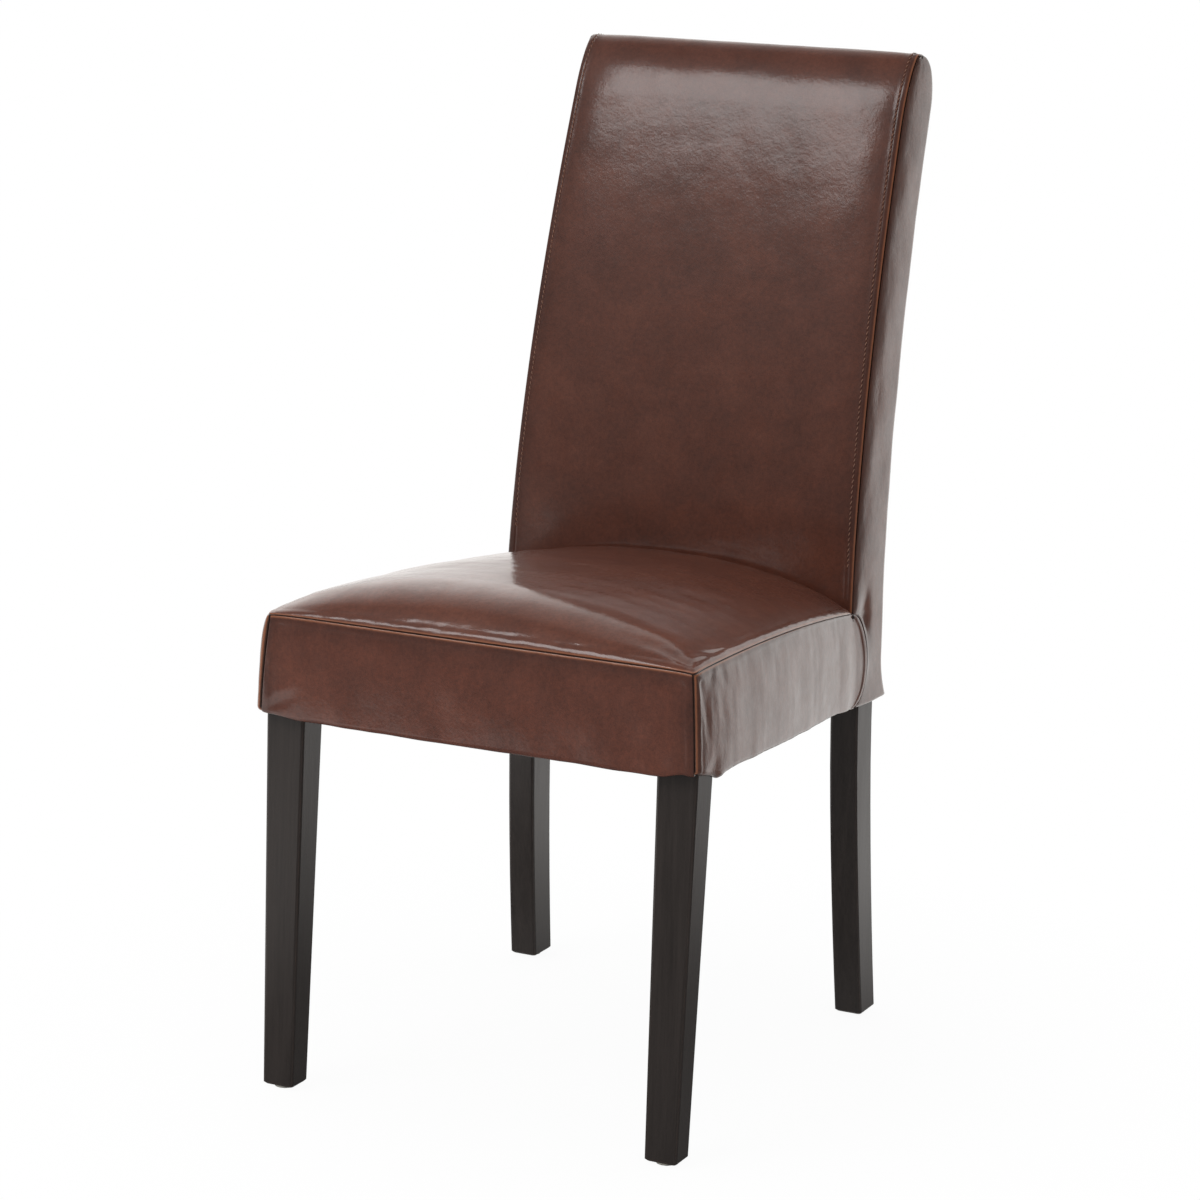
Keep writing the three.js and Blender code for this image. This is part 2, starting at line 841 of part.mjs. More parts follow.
function makeSeatWebbing() {
  const span = postInner(deckHeight(rearRailFront)) - strapWidth / 2;
  const longPlaces = longStrapShares.map((place) => place * span);
  const crossPlaces = crossStrapShares.map((place) =>
    THREE.MathUtils.lerp(legRearY, postFrontAtSeat, place));
  const edges = [-strapWidth / 2, strapWidth / 2];

  longPlaces.forEach((x, index) => {
    const crossings = crossPlaces.map((at, crossing) => ({ at, over: (index + crossing) % 2 === 0 }));
    const outline = strapOutline(
      legFrontY + 2 * railSetback, rearRailFront + railThickness - railSetback, crossings);
    add(`seat_strap_long_${index + 1}`, loft(edges.map((edge) =>
      outline.map(([y, height]) => point(x + edge, y, deckHeight(y) + height)))), materials.webbing);
  });

  crossPlaces.forEach((y, index) => {
    const crossings = longPlaces.map((at, crossing) => ({ at, over: (index + crossing) % 2 !== 0 }));
    const reach = sideRailX(y + strapWidth / 2) - railSetback;
    const outline = strapOutline(-reach, reach, crossings);
    add(`seat_strap_cross_${index + 1}`, loft(edges.map((edge) =>
      outline.map(([x, height]) => point(x, y + edge, deckHeight(y + edge) + height)))), materials.webbing);
  });
}

function makeBackWebbing() {
  backStrapShares.forEach((place, index) => {
    const middle = THREE.MathUtils.lerp(lowerRailBottom, postTop, place);
    const levels = [middle - strapWidth / 2, middle, middle + strapWidth / 2];
    const face = (depth) => levels.map((z) => [-1, 1].map((side) =>
      point(side * (postOuter(z) - woodEase), postFront(z) - depth, z)));
    const strap = slab(face(clearance + strapThickness), face(clearance));
    add(`back_strap_${index + 1}`, strap, materials.webbing);
  });
}

// Seat padding and covers

const seatEndY = seatDepth - 3 * clearance;

// Depths of the seat's rows: the seam, the face of the front legs, and on to the back.
function seatDepths() {
  const rows = steps(seatRows).map((step) =>
    THREE.MathUtils.lerp(legFrontY, seatEndY, 1 - Math.cos(step * Math.PI / 2)));
  return [0, ...rows];
}

// Outer face of the seat cover: the cover, the wadding and the foam are layers under it.
function seatGrid() {
  return seatDepths().map((y) => edgeSteps(seatColumns).map((across) => {
    const x = across * halfSeat(y);
    return point(x, y, seatTop(x, y));
  }));
}

// Grid drawn in towards the middle plane of the chair, by a distance at its edges.
function narrowed(grid, distance) {
  return grid.map((line) => {
    const half = line[line.length - 1].x;
    return line.map((corner) => point(corner.x * (half - distance) / half, corner.y, corner.z));
  });
}

function seatTopCover() {
  return panel(seatGrid(), up);
}

// The wadding lies over the foam and hangs down in front of the rail and the front legs.
function seatWadding() {
  const flap = steps(bandRows).slice(1, -1).map((rise) => edgeSteps(seatColumns).map((across) =>
    point(across * bandX(0, rise), bandY(rise), bandZ(0, rise))));
  const layer = (depth) => {
    const top = movedIn(seatGrid(), depth, up);
    top[0].forEach((corner) => corner.set(corner.x, depth + clearance, seatSeamHeight - depth));
    const front = movedIn(flap, depth, point(0, -1, 0));
    return narrowed([...front, ...top], coverDepth + clearance);
  };
  return slab(layer(coverDepth), layer(coverDepth + waddingThickness));
}

function seatFoam() {
  const depth = coverDepth + waddingThickness + clearance;
  const top = narrowed(movedIn(seatGrid(), depth, up), coverDepth + clearance).slice(1);
  const base = seatDepths().slice(1).map((y) => {
    const z = deckHeight(y) + foamBase;
    const rise = (z - hemHeightAt(y)) / (seamHeight(y) - hemHeightAt(y));
    return edgeSteps(seatColumns).map((across) =>
      point(across * (bandX(y, rise) - coverDepth - clearance), y, z));
  });
  return slab(top, base);
}

// Turned hem: the strip of leather that runs in under a rail between two legs.
function hemStrip(corners) {
  const ring = (drop) => corners.map(([x, y]) => point(x, y, railBottom(y) - drop));
  return loft([ring(coverDepth), ring(clearance)]);
}

function seatFrontBand() {
  const grid = steps(bandRows).map((rise) => edgeSteps(seatColumns).map((across) =>
    point(across * bandX(0, rise), bandY(rise), bandZ(0, rise))));
  const reach = legInnerX - clearance;
  const strip = hemStrip([
    [-reach, bandY(0) + clearance],
    [reach, bandY(0) + clearance],
    [reach, legFrontY + hemTurn],
    [-reach, legFrontY + hemTurn],
  ]);
  return join([panel(grid, point(0, -1, 0)), strip]);
}

function seatSideBand() {
  const grid = steps(joinRows).map((rise) => {
    const startY = bandY(rise) + seamGap;
    return steps(seatColumns).map((along) => {
      const y = THREE.MathUtils.lerp(startY, joinY(rise), along);
      return point(bandX(y, rise), y, bandZ(y, rise));
    });
  });
  const startY = legRearY + 2 * clearance;
  const endY = seatDepth - clearance;
  const strip = hemStrip([
    [bandX(startY, 0) - clearance, startY],
    [bandX(endY, 0) - clearance, endY],
    [sideRailX(endY) - hemTurn, endY],
    [sideRailX(startY) - hemTurn, startY],
  ]);
  return join([panel(grid, point(1, 0, 0)), strip]);
}

// Back padding and covers

// Levels up the face of the back, then angles over its rounded top to the rear.
function faceStations() {
  const tuck = [backFoot - tuckDepth, backFoot - clearance].map((z) =>
    ({ y: faceY(z), z, half: halfBack(z) - tuckInset, crown: 0 }));
  const [lowest, ...levels] = faceLevels().slice(0, -1);
  const face = [lowest + seamGap, ...levels].map((z) => {
    const swell = THREE.MathUtils.smoothstep(z, backFoot + backCrownRun / 3, backFoot + backCrownRun);
    return { y: faceY(z), z, half: halfBack(z), crown: backCrown * swell };
  });
  return [...tuck, ...face, ...topAngles().map((angle) => topPoint(angle, 0))];
}

function topAngles() {
  return steps(2 * topQuarterSteps).map((step) => step * Math.PI);
}

function stationNormal(stations, index) {
  const before = stations[Math.max(index - 1, 0)];
  const after = stations[Math.min(index + 1, stations.length - 1)];
  return point(0, before.z - after.z, after.y - before.y).normalize();
}

// Outer face of the front cover: the cover and the foam are layers under it.
function faceGrid() {
  const stations = faceStations();
  return stations.map((station, index) => {
    const normal = stationNormal(stations, index);
    return edgeSteps(backColumns).map((across) => {
      const edge = station.half * (1 - Math.abs(across));
      const swell = station.crown * roundOff(edge / backCrownReach);
      return point(across * station.half, station.y, station.z).addScaledVector(normal, swell);
    });
  });
}

function backFrontCover() {
  return panel(faceGrid(), point(0, -1, 1));
}

// The foam's inner face lies on the back straps and then folds over the top of the posts.
function backFoam() {
  const stations = faceStations();
  const outer = narrowed(movedIn(faceGrid(), coverDepth, point(0, -1, 1)), coverDepth + clearance);
  const standOff = faceToPost - strapThickness - 4 * clearance;
  const angles = topAngles();
  const firstTop = stations.length - angles.length;
  const inner = outer.map((line, index) => {
    const angle = angles[index - firstTop] ?? 0;
    const rise = share(Math.sin(angle) * Math.SQRT2) * (postTopRise + clearance);
    const z = index < firstTop ? stations[index].z : springHeight + rise;
    const across = THREE.MathUtils.clamp(Math.cos(angle) * Math.SQRT2, -1, 1);
    const y = THREE.MathUtils.lerp(postRear(z) + clearance, faceY(z) + standOff, (1 + across) / 2);
    return line.map((corner) => point(corner.x, y, z));
  });
  return slab(outer, inner);
}

function rearHalf(z) {
  return halfBack(z) - rearPull - clearance;
}

// Outer face of the rear cover, from its hem up to the seam at the rear of the top.
function rearGrid() {
  const padFoot = railBottom(postFrontAtSeat);
  const levels = [
    hemHeightAt(seatDepth + backDepth),
    ...steps(rearFootRows).slice(0, -1).map((step) => THREE.MathUtils.lerp(padFoot, backFoot, step)),
    ...faceLevels().slice(0, -1),
    springHeight - seamGap,
  ];
  return levels.map((z) => edgeSteps(backColumns).map((across) => {
    const edge = rearHalf(z) * (1 - Math.abs(across));
    const swell = rearCrown * roundOff(edge / backCrownReach);
    return point(across * rearHalf(z), rearY(z) + swell, z);
  }));
}

function backRearCover() {
  const hem = hemHeightAt(seatDepth + backDepth);
  const turn = railBottom(seatDepth + backDepth);
  const reach = postInner(hem) - clearance;
  const outer = rearY(turn - coverDepth) + rearCrown - leatherThickness / 2;
  const strip = hemStrip([
    [-reach, outer],
    [reach, outer],
    [reach, rearRailFront + railThickness - hemTurn],
    [-reach, rearRailFront + railThickness - hemTurn],
  ]);
  return join([panel(rearGrid(), point(0, 1, 0)), strip]);
}

function backRearPad() {
  const layer = movedIn(rearGrid(), coverDepth + clearance, point(0, 1, 0)).slice(1);
  const outer = narrowed(layer, coverDepth);
  const inner = outer.map((line) => line.map((corner) =>
    point(corner.x, postRear(corner.z) + clearance, corner.z)));
  return slab(outer, inner);
}

// One level of the side cover, from the front seam round the rear corner to the rear seam.
function sideLine(front, rear, fullDepth, height) {
  const depth = rear.y - front.y;
  const scale = depth / fullDepth;
  const peak = front.x + (front.peak - front.x) * scale;
  const roundShares = [0, 0.15, 0.45, 1];
  const places = [
    ...roundShares.map((along) => along * sideBulgeReach * scale),
    ...roundShares.map((along) => depth - along * rearRound * scale).reverse(),
  ];
  return places.map((along) => {
    const swell = (peak - front.x) * roundOff(along / (sideBulgeReach * scale));
    const turn = (peak - rear.x) * (1 - roundOff((depth - along) / (rearRound * scale)));
    return point(front.x + swell - turn, front.y + along, height(front.y + along));
  });
}

function backSideCover() {
  const lowerLines = steps(joinRows).slice(0, -1).map((rise) => {
    const z = bandZ(seatDepth, rise);
    const front = { x: bandX(seatDepth, rise), y: joinY(rise) + seamGap, peak: halfBack(z) + sideBulge };
    const rear = { x: halfBack(z) - rearPull, y: rearY(z) };
    return sideLine(front, rear, rear.y - front.y, (y) => bandZ(y, rise));
  });
  const middleLines = faceLevels().slice(0, -1).map((z) => {
    const front = { x: halfBack(z), y: faceY(z) + seamGap, peak: halfBack(z) + sideBulge };
    const rear = { x: halfBack(z) - rearPull, y: rearY(z) };
    return sideLine(front, rear, rear.y - front.y, () => z);
  });
  const topLines = topAngles().slice(0, topQuarterSteps).map((angle) => {
    const near = topPoint(angle, seamGap);
    const far = topPoint(Math.PI - angle, seamGap * (1 - Math.cos(angle)));
    const front = { x: near.half, y: near.y, peak: near.half + sideBulge };
    const rear = { x: far.half + 2 * clearance, y: far.y };
    return sideLine(front, rear, topDepth - seamGap, () => near.z);
  });
  return panel([...lowerLines, ...middleLines, ...topLines], point(1, 0, 0));
}

// Dust cover: a black sheet under the rails, notched round the four legs.
function dustCover() {
  const startY = legFrontY + railSetback + railThickness / 2;
  const endY = rearRailFront + railThickness / 2;
  const legY = legRearY + 2 * clearance;
  const postY = postFrontAtSeat - 2 * clearance;
  const legX = legInnerX - 2 * clearance;
  const postX = postInner(railBottom(0)) - 2 * clearance;
  const sideX = (y) => sideRailX(y) - railThickness / 2;
  const right = [
    [legX, startY],
    [legX, legY],
    [sideX(legY), legY],
    [sideX(postY), postY],
    [postX, postY],
    [postX, endY],
  ];
  const left = right.map(([x, y]) => [-x, y]).reverse();
  const top = coverDepth + clearance;
  const ring = (drop) => [...right, ...left].map(([x, y]) => point(x, y, railBottom(y) - drop));
  return loft([ring(top), ring(top + dustCoverThickness)]);
}

makeFrame();
makeSeatWebbing();
makeBackWebbing();
add("seat_foam", seatFoam(), materials.foam);
add("seat_wadding", seatWadding(), materials.wadding);
add("back_foam", backFoam(), materials.foam);
add("back_rear_pad", backRearPad(), materials.wadding);
add("seat_top_cover", seatTopCover(), materials.leather);
add("seat_front_band", seatFrontBand(), materials.leather);
addPair("seat_side_band", seatSideBand(), materials.leather);
add("back_front_cover", backFrontCover(), materials.leather);
addPair("back_side_cover", backSideCover(), materials.leather);
add("back_rear_cover", backRearCover(), materials.leather);
add("dust_cover", dustCover(), materials.cloth);

// The origin lies on the floor under the middle of the whole chair.
chair.updateMatrixWorld(true);
const middle = new THREE.Box3().setFromObject(chair).getCenter(point(0, 0, 0));
chair.position.y = -middle.y;

export default chair;
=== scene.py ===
import json
import math

import bmesh
import bpy
import numpy as np
from mathutils import Matrix, Vector
from mathutils.kdtree import KDTree

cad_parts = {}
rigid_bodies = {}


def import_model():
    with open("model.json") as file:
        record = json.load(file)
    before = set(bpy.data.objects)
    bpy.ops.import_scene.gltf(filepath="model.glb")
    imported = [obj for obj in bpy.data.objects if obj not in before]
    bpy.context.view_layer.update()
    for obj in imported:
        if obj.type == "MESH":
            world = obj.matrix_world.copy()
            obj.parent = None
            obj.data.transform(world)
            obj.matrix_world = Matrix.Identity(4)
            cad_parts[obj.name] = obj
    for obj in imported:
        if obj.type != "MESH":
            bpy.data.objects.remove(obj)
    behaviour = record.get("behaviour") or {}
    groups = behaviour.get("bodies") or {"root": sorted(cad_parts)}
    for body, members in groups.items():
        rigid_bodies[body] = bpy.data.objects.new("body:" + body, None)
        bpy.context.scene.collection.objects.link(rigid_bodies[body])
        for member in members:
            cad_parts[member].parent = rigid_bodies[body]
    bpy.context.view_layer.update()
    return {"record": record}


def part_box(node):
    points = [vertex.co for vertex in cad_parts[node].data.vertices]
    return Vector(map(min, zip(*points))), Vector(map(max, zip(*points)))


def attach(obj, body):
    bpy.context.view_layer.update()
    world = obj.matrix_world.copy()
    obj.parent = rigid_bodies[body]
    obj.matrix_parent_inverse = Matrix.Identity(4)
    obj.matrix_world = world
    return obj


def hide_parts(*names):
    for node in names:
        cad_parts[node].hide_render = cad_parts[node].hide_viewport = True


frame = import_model()

# Lengths are in millimetres, with y counted from the seat's front seam backwards, up to to_metres().
FRONT_SEAM_Y = -1000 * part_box("seat_top_cover")[0][1]
SEAM_HEIGHT = 486.0
SEAT_DEPTH = 470.0
SEAT_FRONT = 456.0
SEAM_DROP = 30.0
SEAT_CROWN = 43.0
CROWN_RUN = 45.0
HEM_HEIGHT = 384.0
DECK_SLOPE = math.tan(math.radians(3.7))
DECK_RISE = 4.5 + 65.0
BACK_FOOT = SEAM_HEIGHT - SEAM_DROP
SPRING = 965.0
BACK_AT_SEAT = 401.5
BACK_AT_TOP = 378.5
BACK_DEPTH = 90.5
RAKE_REACH = 101.3
RAKE_POWER = 1.69
TOP_RISE = 62.0
TOP_FRONT = 20.0
TOP_REAR = 61.0
TOP_DEPTH = TOP_FRONT + TOP_REAR
TOP_Y = SEAT_DEPTH + RAKE_REACH + TOP_FRONT
TOP_LEAN = RAKE_REACH * RAKE_POWER / (SPRING - BACK_FOOT)
SIDE_BULGE = 4.9
SIDE_REACH = 68.0
REAR_ROUND = 16.0
REAR_PULL = 13.0
FACE_TO_POST = 22.0
LEATHER = 1.6
SEAM_GAP = 0.15
HEM_RADIUS = 2.2
STITCH_LINE = 7.0
STITCH_PITCH = 5.5
STITCH_COLUMN = 10
THREAD_SIDES = 6
HOLE_SIDES = 8
SEAM_ALLOWANCE = 3.4
CORNER_DROOP = 1.6
HEM_FOLD = 14
EDGE_STEPS = [0, 0.35, 0.8, 1.3, 1.9, 2.6, 3.4, 4.4, 5.6, 6.3, 7, 7.7, 8.4, 10, 12.5, 16]
FAR = 1e3

# The simulation of the padding: metres and frames
VOXEL = 0.008
LAST_FRAME = 14


def share(value):
    return np.clip(value, 0.0, 1.0)


def arch(value):
    return 4 * value * (1 - value)


def lerp(start, end, along):
    return start + (end - start) * along


def smooth(value, low, high):
    along = share((value - low) / (high - low))
    return along * along * (3 - 2 * along)


def round_off(value):
    return np.sqrt(1 - (1 - share(value)) ** 2)


def bump(value, centre, width):
    return np.exp(-((value - centre) / width) ** 2)


def corner_round(distance, side):
    """The side bands carry the leather round the front corners, further on the left."""
    return lerp(4.6, 2.6, (1 + side) / 2) * (1 - round_off(distance / 9))


def half_seat(y):
    along = share(y / SEAT_DEPTH)
    return lerp(SEAT_FRONT, BACK_AT_SEAT, along) / 2 + 3 * arch(along)


def seam_z(y):
    return SEAM_HEIGHT - SEAM_DROP * share(y / SEAT_DEPTH) ** 2.1


def hem_z(y):
    return HEM_HEIGHT - DECK_SLOPE * y


def crown(value, roundness=0.72):
    return np.maximum(1 - share(value) ** 2.2, 0) ** roundness


def seat_z(x, y):
    """The front roll is tight beside the corners and longer in the middle."""
    across = np.abs(x) / half_seat(y)
    middle = 1 - share(across) ** 2.5
    rise = SEAT_CROWN * crown(1 - share(y / (CROWN_RUN + 38 * middle)), 0.72 + 0.02 * middle)
    return seam_z(y) + rise * (1 - 0.06 * x / half_seat(y)) * crown(across)


def band_x(y, rise):
    return half_seat(y) + 7 * (1 - rise) + lerp(1.0, 4.0, share(y / SEAT_DEPTH)) * arch(rise)


def band_y(rise):
    return -2 * (1 - rise) - arch(rise)


def band_z(y, rise, lift=0.0):
    """Height on a band whose turned hem has its lowest point at the hem, raised there by lift."""
    low = hem_z(y) + HEM_RADIUS
    fade = np.exp(-rise * (SEAM_HEIGHT - HEM_HEIGHT) / 24)
    return lerp(low, seam_z(y), rise) + lift * fade * (1 - rise)


def front_hem_lift(x):
    """The hem rides up on the legs at both ends of the front band."""
    right, left = 235 - x, 235 + x
    rise = 1.8 + 3.6 * smooth(-right, -36, -17) - 0.8 * bump(right, 6, 4) + 2.2 * np.exp(-share(right / 8) * 4)
    rise += 1.6 * smooth(-left, -47, -14) + 3.2 * np.exp(-share(left / 12) * 4) - 0.7 * bump(left, 49, 7)
    return rise


def side_hem_lift(y, side):
    strong = 1.0 if side > 0 else 0.75
    rise = 5.2 * smooth(-y, -44, 6) - 3.2 * bump(y, 53, 8)
    middle = 2.2 * smooth(y, 60, 110) * (1 - smooth(y, 380, 470))
    return 2.4 + middle + strong * rise + 2.8 * smooth(y, 500, 566)


def join_y(rise):
    return SEAT_DEPTH + 31 * np.sqrt(np.maximum(arch(share(rise)), 0))


def back_share(z):
    return (z - BACK_FOOT) / (SPRING - BACK_FOOT)


def face_y(z):
    return SEAT_DEPTH + RAKE_REACH * np.maximum(back_share(z), 0) ** RAKE_POWER


def rear_y(z):
    depth = lerp(BACK_DEPTH, TOP_DEPTH, share(back_share(z)))
    hem = hem_z(SEAT_DEPTH + BACK_DEPTH)
    return face_y(z) + depth + 14 * share((hem + 50 - z) / 50) ** 2


def half_back(z):
    return lerp(BACK_AT_SEAT, BACK_AT_TOP, back_share(z)) / 2


def top_point(angle, inset=0.0):
    reach = np.where(np.cos(angle) > 0, TOP_FRONT, TOP_REAR)
    y = TOP_Y - (reach - inset) * np.cos(angle) + TOP_LEAN * TOP_RISE * np.sin(angle)
    z = SPRING + (TOP_RISE - inset) * np.sin(angle)
    half = BACK_AT_TOP / 2 - REAR_PULL * np.maximum(0, -np.cos(angle)) ** 2
    return y, z, half, 8 * ((1 + np.cos(angle)) / 2) ** 2


def to_metres(points):
    moved = np.array(points, dtype=float)
    moved[..., 1] -= FRONT_SEAM_Y
    return moved / 1000


def spread(length, steps, end=True):
    """Places from 0 to length, close together at the start, and at the end if it has a seam."""
    high = EDGE_STEPS if end else [0]
    inner = np.linspace(EDGE_STEPS[-1], length - high[-1], steps + 1)[1:-1]
    return np.array([*EDGE_STEPS, *inner, *[length - d for d in reversed(high)]])


def arcs(points, axis):
    step = np.linalg.norm(np.diff(points, axis=axis), axis=2)
    total = np.cumsum(step, axis=axis)
    return np.concatenate([np.zeros_like(total.take([0], axis=axis)), total], axis=axis)


def normals(points, towards):
    n = np.cross(np.gradient(points, axis=0), np.gradient(points, axis=1))
    n /= np.linalg.norm(n, axis=2, keepdims=True) + 1e-12
    flip = np.sign((n * np.array(towards)).sum())
    return n * flip


def ripple(points, length, seed, stretch=(1, 1, 1)):
    """Smooth unevenness of about the given length, from -1 to 1."""
    rng = np.random.default_rng(seed)
    p = points * np.array(stretch) / length
    total = np.zeros(points.shape[:-1])
    for _ in range(9):
        wave = rng.normal(size=3)
        wave *= rng.uniform(0.7, 1.5) * 2 * math.pi / np.linalg.norm(wave)
        total += np.sin(p @ wave + rng.uniform(0, 2 * math.pi))
    return total / 5


def crease(points, centre, along, length, width, depth):
    """Narrow valley in the leather, with a low ridge beside it."""
    along = np.array(along, dtype=float)
    along /= np.linalg.norm(along)
    away = points - np.array(centre, dtype=float)
    run = away @ along
    off = away - run[..., None] * along
    side = np.cross(along, (0.3, -0.6, 0.75))
    side /= np.linalg.norm(side)
    across = off @ side
    far = np.linalg.norm(off - across[..., None] * side, axis=-1)
    fade = np.exp(-(run / length) ** 2 - (far / (3 * width)) ** 2)
    return depth * fade * (0.6 * bump(across, 1.8 * width, width) - bump(across, 0, width))


def creased(out, base, creases):
    for one in creases:
        out += crease(base, *one)
    return out


def put(name, mesh, material=None):
    piece = bpy.data.objects.new(name, mesh)
    bpy.context.scene.collection.objects.link(piece)
    if material:
        mesh.materials.append(material)
    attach(piece, "root")
    return piece


def shell(outer, towards, thickness):
    return slab(outer, outer - normals(outer, towards) * thickness)


def slab(outer, inner):
    """Closed solid: the outer face, the inner face and the rim between them."""
    rows, columns = outer.shape[:2]
    points = np.concatenate([outer.reshape(-1, 3), inner.reshape(-1, 3)])
    count = rows * columns
    at = np.arange(count).reshape(rows, columns)
    quads = np.stack([at[:-1, :-1], at[1:, :-1], at[1:, 1:], at[:-1, 1:]], axis=-1).reshape(-1, 4)
    rim = np.concatenate([at[0, :], at[1:, -1], at[-1, -2::-1], at[-2:0:-1, 0]])
    after = np.roll(rim, -1)
    walls = np.stack([rim, after, after + count, rim + count], axis=-1)
    faces = np.concatenate([quads, quads[:, ::-1] + count, walls])
    return points, faces


def mesh_from(name, points, faces, values=None):
    mesh = bpy.data.meshes.new(name)
    mesh.from_pydata(to_metres(points).tolist(), [], [list(map(int, f)) for f in faces])
    made = bmesh.new()
    made.from_mesh(mesh)
    bmesh.ops.recalc_face_normals(made, faces=made.faces)
    made.to_mesh(mesh)
    made.free()
    for key, value in (values or {}).items():
        attribute = mesh.attributes.new(key, "FLOAT", "POINT")
        attribute.data.foreach_set("value", np.asarray(value, dtype=np.float32))
    mesh.polygons.foreach_set("use_smooth", [True] * len(mesh.polygons))
    mesh.update()
    return mesh


def leather_panel(name, base, towards, seams, material, detail, roll, stitched=(), rubbed_and_highlit=(), open_seams=(),
                  lift=0.6):
    """Leather panel with folded edges along its seams.

    The edges are named row0, row1, column0 and column1. Burnished ones show the paler rubbed edge of the hide, which
    also serves as a painted highlight on the seam fold."""
    from_row = arcs(base, 0)
    from_column = arcs(base, 1)
    away = {
        "row0": from_row,
        "row1": from_row[-1:, :] - from_row,
        "column0": from_column,
        "column1": from_column[:, -1:] - from_column,
    }
    facing = normals(base, towards)
    offset = np.zeros(base.shape[:2])
    nearest = np.full(base.shape[:2], FAR)
    dark, tan = nearest.copy(), nearest.copy()
    for edge in seams:
        d = away[edge]
        nearest = np.minimum(nearest, d)
        # Open seams get neither the painted shade in the groove nor the painted shade beside the seam.
        if edge not in open_seams:
            dark = np.minimum(dark, d)
        if edge in rubbed_and_highlit:
            tan = np.minimum(tan, d)
        offset += lift * (smooth(-d, -12.0, -7.4) if edge in stitched else smooth(-d, -11.0, -5.5))
    offset = np.minimum(offset, lift)
    for edge in stitched:
        offset -= 0.6 * bump(away[edge], STITCH_LINE, 0.9)
    offset -= roll * (1 - round_off(nearest / roll))
    offset += detail(base, nearest, away)
    layers = [base + facing * offset[..., None], facing, dark[..., None], tan[..., None]]
    for edge in seams:
        axis = 0 if edge.startswith("row") else 1
        at = [-1] if edge.endswith("1") else [0]
        before = [-2] if edge.endswith("1") else [1]
        line, out = layers[0].take(at, axis), layers[1].take(at, axis)
        inward = layers[0].take(before, axis) - line
        inward /= np.linalg.norm(inward, axis=2, keepdims=True) + 1e-9
        skirts = [line - out * 1.2 + inward * 0.05, line - out * SEAM_ALLOWANCE + inward * 0.15]
        for index, layer in enumerate(layers):
            rim = layer.take(at, axis)
            added = skirts if index == 0 else [rim, rim]
            if edge.endswith("1"):
                layers[index] = np.concatenate([layer, *added], axis)
            else:
                layers[index] = np.concatenate([*reversed(added), layer], axis)
    points, faces = shell(layers[0], towards, LEATHER)
    values = {key: np.tile(layer.reshape(-1), 2) for key, layer in zip(("seam_mm", "tan_mm"), layers[2:])}
    return put(name, mesh_from(name, points, faces, values), material)


def inflated(name, outer, inner, material, cap):
    """Padding under air pressure: it swells by at most cap, and stays where its inner face rests."""
    points, faces = slab(outer, inner)
    piece = put(name, mesh_from(name, points, faces), material)
    scene = bpy.context.scene

    def bake():
        seen = piece.evaluated_get(bpy.context.evaluated_depsgraph_get())
        mesh = bpy.data.meshes.new_from_object(seen)
        piece.modifiers.clear()
        piece.data = mesh

    def places(mesh):
        found = np.empty(3 * len(mesh.vertices))
        mesh.vertices.foreach_get("co", found)
        return found.reshape(-1, 3)

    def reach(grid):
        tree = KDTree(grid.shape[0] * grid.shape[1])
        for index, corner in enumerate(to_metres(grid).reshape(-1, 3)):
            tree.insert(corner, index)
        tree.balance()
        return tree

    remesh = piece.modifiers.new("remesh", "REMESH")
    remesh.mode = "VOXEL"
    remesh.voxel_size = VOXEL
    bake()
    start = places(piece.data)
    cloth = piece.modifiers.new("cloth", "CLOTH")
    cloth.settings.use_pressure = True
    cloth.settings.uniform_pressure_force = 4
    cloth.settings.quality = 4
    cloth.settings.effector_weights.gravity = 0
    for number in range(1, LAST_FRAME + 1):
        scene.frame_set(number)
    seen = piece.evaluated_get(bpy.context.evaluated_depsgraph_get())
    moved = places(seen.to_mesh()) - start
    seen.to_mesh_clear()
    piece.modifiers.clear()
    scene.frame_set(1)
    near, far = reach(outer), reach(inner)
    free = np.array([far.find(p)[2] - near.find(p)[2] for p in start])
    most = cap / 1000 * smooth(free, 0.0, VOXEL)
    length = np.linalg.norm(moved, axis=1)
    moved *= (np.minimum(length, most) / np.maximum(length, 1e-9))[:, None]
    piece.data.vertices.foreach_set("co", (start + moved).reshape(-1))
    finer = piece.modifiers.new("finer", "SUBSURF")
    finer.levels = 1
    bake()
    piece.data.polygons.foreach_set("use_smooth", [True] * len(piece.data.polygons))
    return piece


# Materials, with linear colours and with reaches in millimetres
# The pale rubbed-through edge of the hide, also used as a painted highlight along the seam folds
TAN = (0.27, 0.088, 0.034)
# Near-black painted shade for the seam grooves
GROOVE_SHADE = (0.026, 0.01, 0.006)
# Reach of the painted shade beside the seams
SEAM_SHADE_REACH = 26.0
TAN_REACH = 4.0


def empty_tree(owner, output):
    owner.use_nodes = True
    tree = owner.node_tree
    tree.nodes.clear()
    return tree, tree.nodes.new(output)


def nodes_of(name, **constants):
    material = bpy.data.materials.new(name)
    tree, out = empty_tree(material, "ShaderNodeOutputMaterial")
    shader = tree.nodes.new("ShaderNodeBsdfPrincipled")
    tree.links.new(shader.outputs[0], out.inputs[0])
    for key, value in constants.items():
        shader.inputs[key.replace("_", " ")].default_value = value
    return material, tree, shader


def node(tree, kind, inputs=None, **settings):
    made = tree.nodes.new(kind)
    for key, value in settings.items():
        setattr(made, key, value)
    for key, value in (inputs or {}).items():
        if isinstance(value, bpy.types.NodeSocket):
            tree.links.new(value, made.inputs[key])
        else:
            made.inputs[key].default_value = value
    return made


def ramp(tree, value, stops):
    made = tree.nodes.new("ShaderNodeValToRGB")
    elements = made.color_ramp.elements
    while len(elements) < len(stops):
        elements.new(0.5)
    for element, (place, colour) in zip(elements, stops):
        element.position = place
        element.color = (*colour, 1) if isinstance(colour, tuple) else (colour, colour, colour, 1)
    tree.links.new(value, made.inputs["Fac"])
    return made.outputs["Color"]


